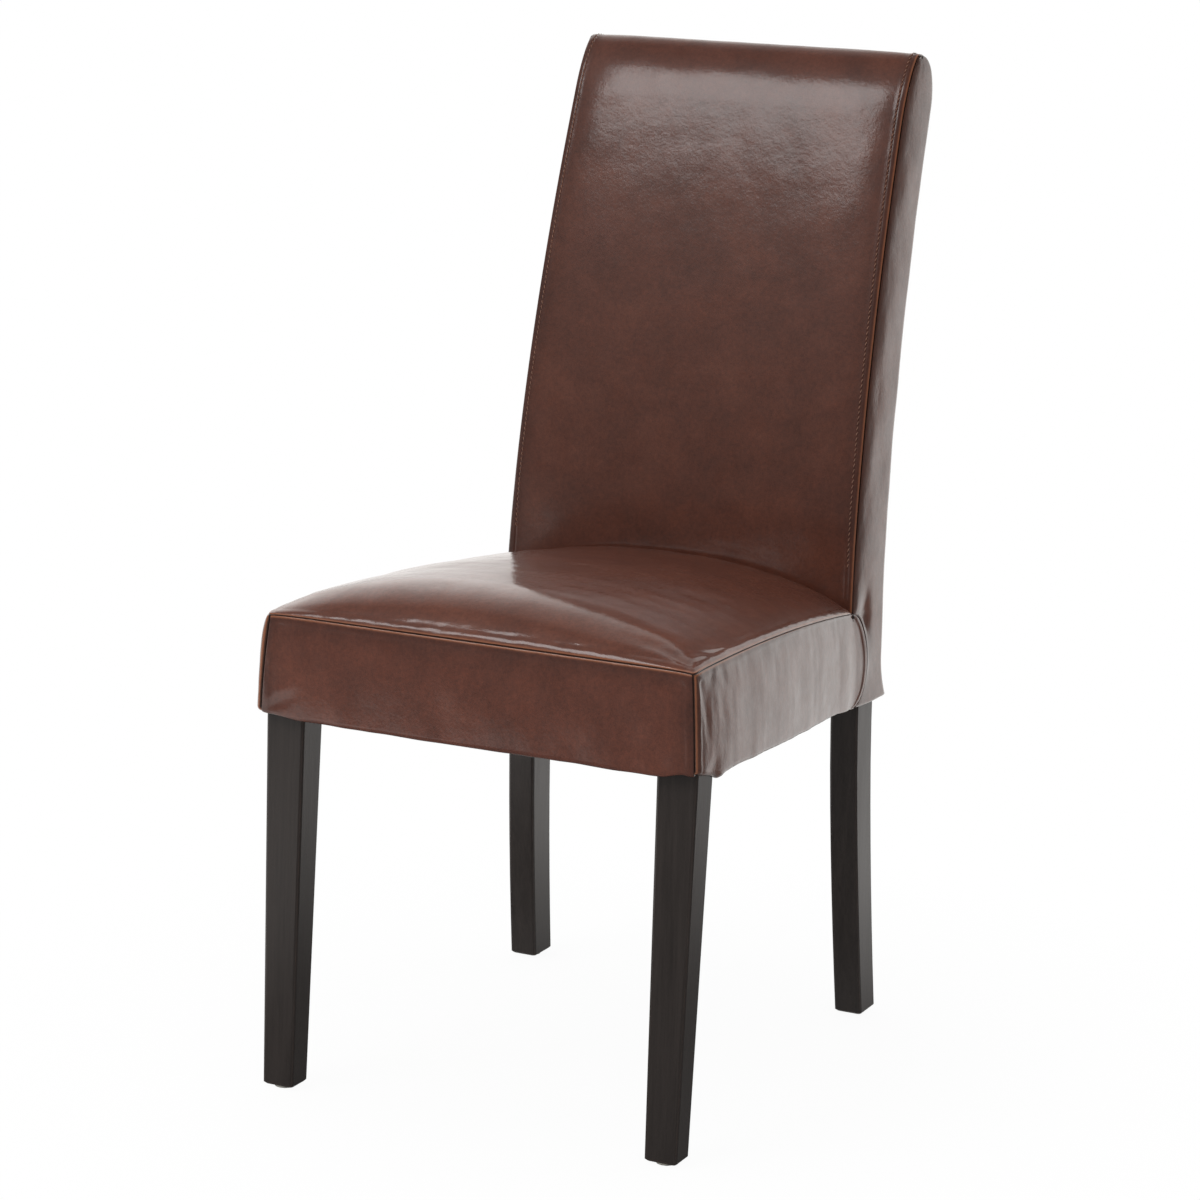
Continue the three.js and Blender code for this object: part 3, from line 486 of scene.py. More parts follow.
def mix(tree, factor, first, second, blend="MIX"):
    made = tree.nodes.new("ShaderNodeMix")
    made.data_type = "RGBA"
    made.blend_type = blend
    for index, value in ((0, factor), (6, first), (7, second)):
        if isinstance(value, bpy.types.NodeSocket):
            tree.links.new(value, made.inputs[index])
        else:
            made.inputs[index].default_value = (*value, 1) if isinstance(value, tuple) else value
    return made.outputs[2]


def coordinates(tree, scale=(1, 1, 1)):
    place = tree.nodes.new("ShaderNodeTexCoord")
    mapping = node(tree, "ShaderNodeMapping", {"Vector": place.outputs["Object"], "Scale": scale})
    return mapping.outputs["Vector"]


def noise(tree, vector, scale, detail=4.0, roughness=0.55, distortion=0.0):
    made = node(tree, "ShaderNodeTexNoise", {
        "Vector": vector, "Scale": scale, "Detail": detail, "Roughness": roughness, "Distortion": distortion})
    return made.outputs["Fac"]


def calc(tree, operation, *values):
    return node(tree, "ShaderNodeMath", dict(enumerate(values)), operation=operation).outputs[0]


def vector(tree, operation, *values):
    return node(tree, "ShaderNodeVectorMath", dict(enumerate(values)), operation=operation).outputs


def apart(tree, value):
    return node(tree, "ShaderNodeSeparateXYZ", {"Vector": value}).outputs


def ranged(tree, value, low, high, start, end, kind="LINEAR"):
    """Carries the range from low to high over to the range from start to end."""
    return node(tree, "ShaderNodeMapRange", {
        "Value": value, "From Min": low, "From Max": high, "To Min": start, "To Max": end},
        interpolation_type=kind).outputs[0]


def bumped(tree, height, strength, distance, under=None, invert=False):
    made = node(tree, "ShaderNodeBump", {"Height": height, "Strength": strength, "Distance": distance}, invert=invert)
    if under:
        tree.links.new(under, made.inputs["Normal"])
    return made.outputs[0]


def attribute(tree, name):
    return node(tree, "ShaderNodeAttribute", attribute_name=name).outputs["Fac"]


def leather(name, base, streak, streaks, coat=0.12, shine=1.0, rub=1.0, edge=0.6):
    """Waxed cowhide: cloudy dye and fine pores, painted shade that darkens the colour towards the seams by edge and
    fills the seam grooves, and paler edges rubbed through by rub that also serve as painted highlights on the seam
    folds.
    """
    material, tree, shader = nodes_of(name, IOR=1.5, Specular_IOR_Level=0.4, Coat_Weight=shine, Coat_Roughness=coat)
    flat = coordinates(tree)
    dark = tuple(0.8 * c for c in base)
    light = tuple(c * k for c, k in zip(base, (1.2, 1.26, 1.28)))
    colour = ramp(tree, noise(tree, flat, 19.0, 8.0, 0.66, 0.4), [(0.3, dark), (0.5, base), (0.7, light)])
    mottle = ramp(tree, noise(tree, flat, 230.0, 7.0, 0.75), [(0.3, 0.78), (0.7, 1.2)])
    colour = mix(tree, 1.0, colour, mottle, "MULTIPLY")
    drawn = ramp(tree, noise(tree, coordinates(tree, streak), 170.0, 4.0, 0.6),
                 [(0.3, 1 - streaks), (0.7, 1 + streaks)])
    colour = mix(tree, 1.0, colour, drawn, "MULTIPLY")
    grain = node(tree, "ShaderNodeTexVoronoi", {"Vector": flat, "Scale": 900.0, "Randomness": 1.0})
    pores = ramp(tree, grain.outputs["Distance"], [(0.0, 1.06), (0.55, 0.98), (1.0, 0.8)])
    colour = mix(tree, 1.0, colour, pores, "MULTIPLY")
    # Painted shade: the colour darkens towards the seams, down to the factor edge at the seam.
    painted_seam_shade = ramp(tree, calc(tree, "DIVIDE", attribute(tree, "seam_mm"), SEAM_SHADE_REACH),
                 [(0.0, edge), (0.35, (1 + edge) / 2), (1.0, 1.0)])
    colour = mix(tree, 1.0, colour, painted_seam_shade, "MULTIPLY")
    uneven = noise(tree, flat, 190.0, 3.0, 0.6)
    # Pale tan along the listed edges: rubbed-through hide, and also a painted highlight on the seam folds.
    tan = calc(tree, "SUBTRACT", attribute(tree, "tan_mm"), uneven)
    tan = ramp(tree, calc(tree, "DIVIDE", tan, TAN_REACH), [
        (0.0, 0.35 * rub), (0.07, 0.9 * rub), (0.32, 0.85 * rub), (0.5, 0.18 * rub), (0.8, 0.0)])
    colour = mix(tree, tan, colour, TAN)
    # Painted shade: the seam grooves and the turned-in edges take a near-black colour.
    groove_shade = ramp(tree, attribute(tree, "seam_mm"), [(0.0, 1.0), (0.3, 0.75), (0.75, 0.0)])
    colour = mix(tree, groove_shade, colour, GROOVE_SHADE)
    tree.links.new(colour, shader.inputs["Base Color"])
    dull = ranged(tree, noise(tree, flat, 60.0, 5.0, 0.6), 0.3, 0.7, 0.42, 0.54)
    tree.links.new(dull, shader.inputs["Roughness"])
    broad = bumped(tree, noise(tree, flat, 62.0, 3.0, 0.55), 0.5, 0.0005)
    low = bumped(tree, noise(tree, flat, 330.0, 5.0, 0.62), 0.5, 0.0002, broad)
    fine = bumped(tree, grain.outputs["Distance"], 0.4, 0.0001, low, invert=True)
    tree.links.new(fine, shader.inputs["Normal"])
    tree.links.new(low, shader.inputs["Coat Normal"])
    return material


def wood(name, dark, light, scale, axis=(1, 1, 0.06), worn=None, gloss=(0.36, 0.52), pores=0.38):
    material, tree, shader = nodes_of(name)
    drawn = coordinates(tree, axis)
    rings = noise(tree, drawn, scale, 7.0, 0.65, 1.2)
    colour = ramp(tree, rings, [(0.3, dark), (0.72, light)])
    pore = noise(tree, coordinates(tree, (1, 1, axis[2] * 0.5) if axis[2] < 1 else axis), scale * 9, 3.0, 0.7)
    colour = mix(tree, 1.0, colour, ramp(tree, pore, [(0.35, 1 - pores), (0.6, 1 + pores / 4)]), "MULTIPLY")
    if worn:
        bevel = node(tree, "ShaderNodeBevel", {"Radius": 0.0022}, samples=6)
        plain = node(tree, "ShaderNodeNewGeometry")
        turn = vector(tree, "DOT_PRODUCT", bevel.outputs[0], plain.outputs["True Normal"])
        edge = ramp(tree, turn["Value"], [(0.72, 1.0), (0.985, 0.0)])
        rub = ramp(tree, noise(tree, coordinates(tree), 70.0, 4.0, 0.6), [(0.4, 0.15), (0.62, 1.0)])
        colour = mix(tree, mix(tree, 1.0, edge, rub, "MULTIPLY"), colour, worn)
    tree.links.new(colour, shader.inputs["Base Color"])
    tree.links.new(ranged(tree, rings, 0.3, 0.7, *gloss), shader.inputs["Roughness"])
    tree.links.new(bumped(tree, pore, 0.35, 0.00025), shader.inputs["Normal"])
    return material


def cloth(name, dark, light, pitch, roughness=0.9, depth=0.0004):
    """Plain weave of threads at the given pitch in metres."""
    material, tree, shader = nodes_of(name, Roughness=roughness)
    flat = coordinates(tree)
    waves = []
    for part in apart(tree, flat):
        waves.append(calc(tree, "SINE", calc(tree, "MULTIPLY", part, 2 * math.pi / pitch)))
    weave = calc(tree, "ADD", calc(tree, "MULTIPLY", waves[0], waves[1]), waves[2])
    height = ranged(tree, weave, -1.6, 1.6, 0.0, 1.0)
    colour = ramp(tree, height, [(0.0, dark), (1.0, light)])
    patch = ramp(tree, noise(tree, flat, 40.0, 4.0, 0.6), [(0.3, 0.85), (0.7, 1.1)])
    tree.links.new(mix(tree, 1.0, colour, patch, "MULTIPLY"), shader.inputs["Base Color"])
    tree.links.new(bumped(tree, height, 0.6, depth), shader.inputs["Normal"])
    return material


def porous(name, dark, light, scale):
    """Open foam or matted fibre."""
    material, tree, shader = nodes_of(name, Roughness=0.95)
    flat = coordinates(tree)
    cells = node(tree, "ShaderNodeTexVoronoi", {"Vector": flat, "Scale": scale})
    colour = ramp(tree, cells.outputs["Distance"], [(0.1, dark), (0.6, light)])
    patch = ramp(tree, noise(tree, flat, 25.0, 4.0, 0.6), [(0.3, 0.9), (0.7, 1.05)])
    tree.links.new(mix(tree, 1.0, colour, patch, "MULTIPLY"), shader.inputs["Base Color"])
    tree.links.new(bumped(tree, cells.outputs["Distance"], 0.7, 0.0005), shader.inputs["Normal"])
    return material


def brushed(name, dark, light, metallic, gloss, scale=300.0):
    material, tree, shader = nodes_of(name, Metallic=metallic)
    flat = coordinates(tree)
    value = noise(tree, flat, scale, 4.0, 0.6)
    tree.links.new(ramp(tree, value, [(0.3, dark), (0.7, light)]), shader.inputs["Base Color"])
    tree.links.new(ranged(tree, value, 0.3, 0.7, *gloss), shader.inputs["Roughness"])
    return material


# An edge below 1 darkens the colour beside the seams as painted shade; the seat leather has none.
seat_leather = leather("seat_leather", (0.118, 0.031, 0.0145), (1, 0.3, 1), 0.05, coat=0.09, edge=1.0)
band_leather = leather("band_leather", (0.117, 0.029, 0.0138), (1, 1, 0.25), 0.07)
back_leather = leather("back_leather", (0.101, 0.026, 0.0122), (1, 1, 0.6), 0.03, coat=0.15, shine=0.85, rub=0.8)
side_leather = leather("side_leather", (0.118, 0.034, 0.0165), (1, 1, 0.1), 0.12, coat=0.13)
dark_wood = wood("dark_wood", (0.0235, 0.0182, 0.0162), (0.037, 0.028, 0.0246), 60.0, (1, 1, 0.05),
                 (0.1, 0.05, 0.03), (0.3, 0.38), 0.16)
frame_wood = wood("frame_wood", (0.42, 0.27, 0.14), (0.62, 0.44, 0.26), 60.0, (0.08, 1, 1))
webbing = cloth("webbing", (0.2, 0.13, 0.07), (0.46, 0.33, 0.19), 0.003)
dust_cloth = cloth("dust_cloth", (0.004, 0.004, 0.0045), (0.018, 0.018, 0.02), 0.0012, 0.95, 0.0002)
foam_skin = porous("foam", (0.62, 0.5, 0.25), (0.82, 0.72, 0.45), 900.0)
wadding_skin = porous("wadding", (0.72, 0.71, 0.67), (0.9, 0.89, 0.86), 500.0)
steel = brushed("screw_steel", (0.32, 0.31, 0.29), (0.56, 0.55, 0.52), 1.0, (0.25, 0.4), 800.0)
nylon = brushed("nylon", (0.5, 0.47, 0.4), (0.66, 0.63, 0.56), 0.0, (0.4, 0.55))
thread = cloth("thread", (0.15, 0.065, 0.04), (0.36, 0.18, 0.12), 0.0008, 0.7, 0.0001)
# Near-black discs at the needle holes: painted shade of the holes
needle_hole = brushed("needle_hole", (0.004, 0.002, 0.0015), (0.012, 0.006, 0.004), 0.0, (0.7, 0.9))

# Leather of the seat
# Creases: middle, direction, half length, half width and depth
SEAT_CREASES = [
    ((196, 12, 500), (1, -0.35, -0.2), 24, 3.0, 1.6),
    ((170, 16, 508), (1, -0.2, 0), 30, 4.0, 1.1),
    ((214, 40, 500), (0.35, 1, 0), 26, 3.2, 1.4),
    ((212, 82, 502), (0.2, 1, 0), 34, 3.6, 1.2),
    ((208, 150, 505), (0.1, 1, 0), 34, 3.4, 0.8),
    ((-208, 18, 505), (-1, -0.5, 0), 24, 3.4, 1.0),
    ((-212, 60, 505), (-0.3, 1, 0), 28, 3.4, 0.8),
]
FRONT_CREASES = [
    ((205, -2, 474), (1, 0, -0.35), 16, 3.0, 0.8),
    ((196, -2, 398), (1, 0, -0.9), 16, 4.0, 1.0),
    ((-206, -2, 402), (-1, 0, -0.6), 18, 4.0, 0.9),
]
RIGHT_CREASES = [
    ((232, 26, 474), (0, 0.5, 1), 12, 2.4, 1.2),
    ((232, 42, 474), (0, 0.4, 1), 12, 2.2, 1.0),
    ((232, 60, 474), (0, 0.3, 1), 14, 2.6, 0.8),
    ((232, 84, 472), (0, 0.2, 1), 16, 3.0, 0.8),
    ((232, 14, 452), (0, 0.3, -1), 30, 3.4, 0.8),
    ((238, 30, 394), (0, 1, 0.5), 18, 4.0, 1.2),
]
LEFT_CREASES = [
    ((-232, 30, 474), (0, 0.5, 1), 14, 2.6, 1.2),
    ((-232, 54, 474), (0, 0.4, 1), 14, 2.8, 1.0),
]


def seat_detail(base, d, away):
    swell = 0.5 * ripple(base, 105, 3) + 0.22 * ripple(base, 40, 4)
    pucker = np.exp(-d / 12) * (0.4 * ripple(base, 15, 5) + 0.25 * ripple(base, 8, 6))
    out = swell * smooth(d, 4, 40) + pucker * smooth(d, 0.5, 3)
    corner = np.hypot(base[..., 0] - 228, base[..., 1])
    out += 0.9 * np.exp(-corner / 38) * ripple(base, 13, 7, (1, 0.6, 1)) * smooth(d, 1, 6)
    return creased(out, base, SEAT_CREASES)


rows = spread(SEAT_DEPTH, 82, end=False)
far_left, far_right = (half_seat(rows) - corner_round(rows, side) for side in (-1, 1))
x = np.array([spread(a + b, 74) - a for a, b in zip(far_left, far_right)])
y = np.broadcast_to(rows[:, None], x.shape)
lip = 7 * (1 - round_off((SEAT_DEPTH - y) / 9))
droop = CORNER_DROOP * np.exp(-np.hypot(half_seat(y) - np.abs(x), y) / 12)
seat = np.stack([x, y + SEAM_GAP * (y < 1), seat_z(x, y) - lip - droop + SEAM_GAP], axis=-1)
tuck = seat[-1:].copy()
tuck[..., 2] -= 12
# The seat top's pale edges stand in for the thin highlight along its seam folds: painted highlight.
seat_top = leather_panel("seat_top_leather", np.concatenate([seat, tuck]), (0, 0, 1), ["row0", "column0", "column1"],
                         seat_leather, seat_detail, 1.3, rubbed_and_highlit=["row0", "column0", "column1"], lift=0.8)
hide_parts("seat_top_cover")


def band_detail(base, d):
    swell = 0.4 * ripple(base, 80, 11) + 0.22 * ripple(base, 30, 12, (1, 1, 0.3))
    pucker = np.exp(-d / 10) * (0.3 * ripple(base, 14, 13, (1, 1, 0.3)) + 0.18 * ripple(base, 7, 14, (1, 1, 0.4)))
    low = smooth(-base[..., 2], -(HEM_HEIGHT + 16), -(HEM_HEIGHT - 34))
    wave = 0.5 * low * ripple(base, 60, 15, (1, 1, 0.15))
    return swell * smooth(d, 3, 30) + pucker * smooth(d, 0.5, 3) + wave


def padded_out(away, height, length, edges=("column0",)):
    """The band bulges between the seams that hold it in."""
    d = np.minimum.reduce([away[edge] for edge in edges])
    return height * (1 - np.exp(-d / length)) * (1 - np.exp(-away["row1"] / 14))


def front_detail(base, d, away):
    out = band_detail(base, d) + padded_out(away, 2.6, 18, ("column0", "column1"))
    return creased(out, base, FRONT_CREASES)


def hemmed(base, inward, depth):
    """Adds the turned edge below the lowest row, round a small radius and then inwards."""
    low = base[:1]
    depth = np.broadcast_to(depth, low.shape[:2])[..., None]
    turn = []
    for angle in np.linspace(0, math.pi / 2, 5)[1:]:
        inwards, down = HEM_RADIUS * (1 - math.cos(angle)), HEM_RADIUS * math.sin(angle)
        turn.append(low + np.array(inward) * inwards - np.array((0, 0, down)))
    turn.append(turn[-1] + np.array(inward) * (depth - HEM_RADIUS))
    return np.concatenate([*reversed(turn), base])


def wavy(base, seed):
    """Lets the hem run a little uneven, and fades that out above it."""
    rise = base[..., 2] - base[:1, :, 2]
    moved = base.copy()
    moved[..., 2] += 0.4 * np.exp(-rise / 25) * ripple(base[:1].repeat(len(base), 0), 60, seed)
    return moved


low_levels = np.array([0, 0.01, 0.025, 0.045, 0.07])
high_levels = 1 - np.array(EDGE_STEPS[::-1]) / (SEAM_HEIGHT - HEM_HEIGHT)
levels = np.concatenate([low_levels, np.linspace(0.07, high_levels[0], 18)[1:-1], high_levels])

far_left, far_right = (band_x(0, levels) - corner_round(0, side) - 0.3 for side in (-1, 1))
x = np.array([spread(a + b, 78) - a for a, b in zip(far_left, far_right)])
r = np.broadcast_to(levels[:, None], x.shape)
droop = CORNER_DROOP * np.exp(-(x.max(axis=1, keepdims=True) - np.abs(x)) / 12) * r ** 4
front = np.stack([x, band_y(r), band_z(np.zeros_like(x), r, front_hem_lift(x)) - SEAM_GAP - droop], axis=-1)
front_turn = lerp(15, 3.2, smooth(np.abs(x[0]), 176, 186))
front_band = leather_panel("seat_front_leather", hemmed(wavy(front, 21), (0, 1, 0), front_turn), (0, -1, 0),
                           ["row1", "column0", "column1"], band_leather, front_detail, 1.3, rubbed_and_highlit=["row1"])
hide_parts("seat_front_band")


def join_gap(rise):
    return SEAM_GAP + 0.8 * arch(share(rise))


def side_band_points(side):
    columns = []
    for rise in levels:
        start = band_y(rise) + SEAM_GAP
        columns.append(start + spread(float(join_y(rise) - join_gap(rise)) - start, 84))
    y = np.array(columns)
    r = np.broadcast_to(levels[:, None], y.shape)
    droop = CORNER_DROOP * np.exp(-np.maximum(y, 0) / 12) * r ** 4
    x = band_x(y, r) - corner_round(y - band_y(r), side)
    points = np.stack([x, y, band_z(y, r, side_hem_lift(y, side)) - SEAM_GAP - droop], axis=-1)
    turn = lerp(2.8, 10, smooth(y[0], 50, 58))
    points = hemmed(wavy(points, 22), (-1, 0, 0), turn)
    points[..., 0] *= side
    return points


def side_swell(base, d, away):
    return band_detail(base, d) + padded_out(away, 4.2, 25) * (1 - smooth(base[..., 1], 150, 430))


def right_detail(base, d, away):
    out = side_swell(base, d, away)
    out += 0.2 * ripple(base, 20, 31, (0, 1, 0.1)) * smooth(d, 2, 12)
    near = np.exp(-np.hypot(base[..., 1] - 45, base[..., 2] - 478) / 30)
    out += 0.6 * near * ripple(base, 9, 32, (0, 1, 0.35)) * smooth(d, 1, 5)
    return creased(out, base, RIGHT_CREASES)


def left_detail(base, d, away):
    out = side_swell(base, d, away)
    full = round_off(away["column0"] / 12) * (1 - smooth(base[..., 1], 30, 220))
    out += 3.6 * full * (1 - np.exp(-away["row1"] / 6)) * (1 - 0.6 * smooth(away["row1"], 20, 80))
    out += 0.2 * ripple(base, 20, 41, (0, 1, 0.1)) * smooth(d, 2, 12)
    return creased(out, base, LEFT_CREASES)


for side, word, detail in ((1, "right", right_detail), (-1, "left", left_detail)):
    band = leather_panel(f"seat_side_leather_{word}", side_band_points(side), (side, 0, 0),
                         ["row1", "column0", "column1"], side_leather, detail, 1.4,
                         rubbed_and_highlit=["row1", "column0"], open_seams=["column1"])
    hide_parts(f"seat_side_band_{word}")

# Leather of the back


def face_line():
    z = np.concatenate([
        np.linspace(BACK_FOOT - 20, BACK_FOOT + 40, 14)[:-1],
        np.linspace(BACK_FOOT + 40, SPRING, 86)[:-1]])
    y, half = face_y(z), half_back(z)
    half = np.where(z < BACK_FOOT, half - 5 * smooth(-z, -BACK_FOOT, -(BACK_FOOT - 12)), half)
    swell = 8 * smooth(z, BACK_FOOT + 12, BACK_FOOT + 118)
    turn = math.pi - np.array(list(reversed([d / TOP_REAR for d in EDGE_STEPS])))
    angle = np.concatenate([np.linspace(0, turn[0], 52)[:-1], turn])
    ty, tz, th, ts = top_point(angle)
    return np.concatenate([y, ty]), np.concatenate([z, tz]), np.concatenate([half, th]), np.concatenate([swell, ts])


line_y, line_z, line_half, line_swell = face_line()
x = np.array([spread(2 * (h - SEAM_GAP), 66) - (h - SEAM_GAP) for h in line_half])
profile = np.stack([np.zeros_like(line_y), line_y, line_z], axis=-1)
outward = np.stack([np.zeros_like(line_y), -np.gradient(line_z), np.gradient(line_y)], axis=-1)
outward /= np.linalg.norm(outward, axis=1, keepdims=True)
swell = line_swell[:, None] * round_off((line_half[:, None] - np.abs(x)) / 62)
face = profile[:, None, :] + outward[:, None, :] * swell[..., None]
face[..., 0] = x


def face_detail(base, d, away):
    swell = 0.25 * ripple(base, 120, 51) + 0.12 * ripple(base, 45, 52)
    pucker = np.exp(-d / 10) * (0.22 * ripple(base, 14, 53) + 0.12 * ripple(base, 8, 54))
    return swell * smooth(d, 6, 45) + pucker * smooth(d, 0.5, 3)


back_face = leather_panel("back_front_leather", face, (0, -1, 1), ["row1", "column0", "column1"], back_leather,
                          face_detail, 1.3, stitched=["column0", "column1"], rubbed_and_highlit=["column1"])
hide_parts("back_front_cover")

fine = np.array(EDGE_STEPS) / BACK_DEPTH
EDGE_PLAN = np.concatenate([fine, np.linspace(fine[-1], 1 - fine[-1], 24)[1:-1], 1 - fine[::-1]])


def side_line(front_x, peak, rear_x, front_y, end_y, full, height):
    """A row of the side cover from the front seam over its peak to the rear seam, flatter where it is short."""
    depth = end_y - front_y
    scale = depth / full
    peak = front_x + (peak - front_x) * scale
    along = EDGE_PLAN * depth
    swell = (peak - front_x) * round_off(along / (SIDE_REACH * scale))
    turn = (peak - rear_x) * (1 - round_off((depth - along) / (REAR_ROUND * scale)))
    y = front_y + along
    return np.stack([front_x + swell - turn, y, height(y)], axis=-1)


def back_side_points():
    lines = []
    for rise in np.concatenate([[0, 0.02, 0.05, 0.09], np.linspace(0.14, 1, 24)[:-1]]):
        z = float(band_z(SEAT_DEPTH, rise))
        front_y = float(join_y(rise) + join_gap(rise))
        rear = float(rear_y(z))
        flare = 1.5 * (1 - smooth(rise, 0.0, 0.45))

        def height(y, rise=rise):
            return band_z(y, rise, side_hem_lift(y, 1))

        lines.append(side_line(float(band_x(SEAT_DEPTH, rise)), half_back(z) + SIDE_BULGE + flare,
                               half_back(z) - REAR_PULL + flare, front_y, rear, rear - front_y, height))
    for z in np.linspace(BACK_FOOT, SPRING, 86)[:-1]:
        rear = float(rear_y(z))
        front_y = float(face_y(z)) + SEAM_GAP
        lines.append(side_line(float(half_back(z)), half_back(z) + SIDE_BULGE, half_back(z) - REAR_PULL,
                               front_y, rear, rear - front_y, lambda y, z=z: y * 0 + z))
    for angle in np.linspace(0, math.pi / 2 - 0.06, 36):
        near_y, near_z, near_half, _ = (float(v) for v in top_point(angle, SEAM_GAP))
        far_y, _, far_half, _ = (float(v) for v in top_point(math.pi - angle, SEAM_GAP))
        lines.append(side_line(near_half, near_half + SIDE_BULGE, far_half, near_y, far_y,
                               TOP_DEPTH, lambda y, z=near_z: y * 0 + z))
    return hemmed(wavy(np.array(lines), 23), (-0.95, -0.3, 0), 3.2)


side_points = back_side_points()


def side_detail(base, d, away):
    swell = 0.35 * ripple(base, 90, 61) + 0.15 * ripple(base, 35, 62, (1, 1, 0.5))
    out = swell * smooth(d, 4, 25) + np.exp(-d / 9) * 0.2 * ripple(base, 13, 63) * smooth(d, 0.5, 3)
    hollow = bump(base[..., 1], SEAT_DEPTH + 28, 11) * bump(base[..., 2], BACK_FOOT - 2, 20)
    return out - 2.6 * hollow * smooth(d, 1, 8)


for side, word in ((1, "right"), (-1, "left")):
    points = side_points * np.array((side, 1, 1))
    cover = leather_panel(f"back_side_leather_{word}", points, (side, 0, 0), ["row1", "column0", "column1"],
                          side_leather, side_detail, 0.8, lift=0.0)
    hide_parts(f"back_side_cover_{word}")


def rear_points():
    hem = float(hem_z(SEAT_DEPTH + BACK_DEPTH)) + HEM_RADIUS
    z = np.concatenate([
        hem + np.array([0, 1, 2.5, 5]), np.linspace(hem + 9, BACK_FOOT, 20)[:-1],
        np.linspace(BACK_FOOT, SPRING - EDGE_STEPS[-1], 90)[:-1], SPRING - np.array(EDGE_STEPS[::-1])])
    flare = 0.6 * (1 - smooth(z, hem, hem + 50))
    half = half_back(z) - REAR_PULL - SEAM_GAP + flare
    x = np.array([spread(2 * h, 60) - h for h in half])
    edge = half[:, None] - np.abs(x)
    swell = 3 * round_off(edge / 34)
    lift = 2.5 * np.exp(-edge / 16) * np.exp(-(z[:, None] - hem) / 24)
    points = np.stack([x, rear_y(z)[:, None] + swell, z[:, None] + lift], axis=-1)
    return hemmed(wavy(points, 24), (0, -1, 0), HEM_FOLD)


rear_cover = leather_panel("back_rear_leather", rear_points(), (0, 1, 0), ["row1", "column0", "column1"],
                           back_leather, face_detail, 1.3)
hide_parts("back_rear_cover")

# Top stitching beside the seams of the back, with painted shade at its needle holes


def tube(path, out, across, sizes):
    points, faces = [], []
    last = len(path) - 1
    for k, size in enumerate(sizes):
        for turn in range(THREAD_SIDES):
            a = 2 * math.pi * turn / THREAD_SIDES
            points.append(path[k] + size * (math.cos(a) * out[k] + math.sin(a) * across[k]))
    for k in range(0, last * THREAD_SIDES, THREAD_SIDES):
        for turn in range(THREAD_SIDES):
            a, b = k + turn, k + (turn + 1) % THREAD_SIDES
            faces.append((a, b, b + THREAD_SIDES, a + THREAD_SIDES))
    faces.append(tuple(range(THREAD_SIDES)))
    faces.append(tuple(last * THREAD_SIDES + t for t in reversed(range(THREAD_SIDES))))
    return points, faces


def seam_path(side):
    column = STITCH_COLUMN if side < 0 else face.shape[1] - 1 - STITCH_COLUMN
    first = 14
    n = normals(face, (0, -1, 1))[first:, column]
    path = face[first:, column] + 0.12 * n
    run = np.concatenate([[0], np.cumsum(np.linalg.norm(np.diff(path, axis=0), axis=1))])

    def along(distance, values):
        return np.stack([np.interp(distance, run, values[:, k]) for k in range(3)], axis=-1)

    def at(distance):
        place, out = along(distance, path), along(distance, n)
        out /= np.linalg.norm(out, axis=-1, keepdims=True)
        ahead = along(distance + 0.5, path) - place
        across = np.cross(ahead, out)
        across /= np.linalg.norm(across, axis=-1, keepdims=True)
        return place, out, across * side

    return at, run[-1]


def merged(parts):
    points, faces = [], []
    for some, those in parts:
        faces += [tuple(i + len(points) for i in f) for f in those]
        points += list(some)
    return np.array(points), faces


def stitches(side):
    """Slanted lock stitches, each from its needle hole on the inner side of the line to the outer side, with a
    near-black disc of painted shade at each needle hole.
    """
    at, length = seam_path(side)
    threads, hole_shades = [], []
    for start in np.arange(2, length - 8, STITCH_PITCH):
        along = start + STITCH_PITCH * np.linspace(0.12, 0.86, 7)
        place, out, across = at(along)
        place = place + out * (-0.25 + 1.0 * np.sin(np.linspace(0, math.pi, 7)) ** 0.6)[:, None]
        place = place + across * np.linspace(-0.75, 0.75, 7)[:, None]
        sizes = 0.5 * (0.55 + 0.45 * np.sin(np.linspace(0, math.pi, 7)))
        threads.append(tube(place, out, across, sizes))
        # Each needle hole is a small near-black disc on the leather: painted shade of the hole.
        place, out, across = at(np.array([start + 0.3]))
        ahead = np.cross(out, across)[0]
        centre = place[0] - across[0] * 0.95
        rim = [centre + 1.0 * math.cos(a) * across[0] + 0.95 * math.sin(a) * ahead
               for a in np.linspace(0, 2 * math.pi, HOLE_SIDES + 1)[:-1]]
        hole_shade = [p + out[0] * 0.02 for p in rim] + [p - out[0] * 0.5 for p in rim] + [centre + out[0] * 0.1]
        pairs = [(k, (k + 1) % HOLE_SIDES) for k in range(HOLE_SIDES)]
        faces = [(a, b, HOLE_SIDES + b, HOLE_SIDES + a) for a, b in pairs]
        faces += [(a, b, 2 * HOLE_SIDES) for a, b in pairs] + [tuple(range(HOLE_SIDES, 2 * HOLE_SIDES))]
        hole_shades.append((hole_shade, faces))
    return merged(threads), merged(hole_shades)


for side, word in ((1, "right"), (-1, "left")):
    for kind, (points, faces), finish in zip(("stitching", "needle_holes"), stitches(side), (thread, needle_hole)):
        line = put(f"back_{kind}_{word}", mesh_from(f"back_{kind}_{word}", points, faces), finish)

# Padding


def wadding_points():
    rows = np.concatenate([[2.4], np.linspace(8, 462, 34)])
    top = []
    for row in rows:
        x = np.linspace(-1, 1, 41) * (half_seat(row) - 3)
        top.append(np.stack([x, x * 0 + row, seat_z(x, row) - 2.6 - 0.3 * (row < 5)], axis=-1))
    front = []
    for rise in np.linspace(0.3, 0.93, 8):
        x = np.linspace(-1, 1, 41) * (band_x(0, rise) - 3)
        front.append(np.stack([x, x * 0 + band_y(rise) + 2.4, x * 0 + band_z(0, rise)], axis=-1))
    return np.concatenate([np.array(front), np.array(top)])


def deck_z(y):
    return hem_z(y) + DECK_RISE + 4.8


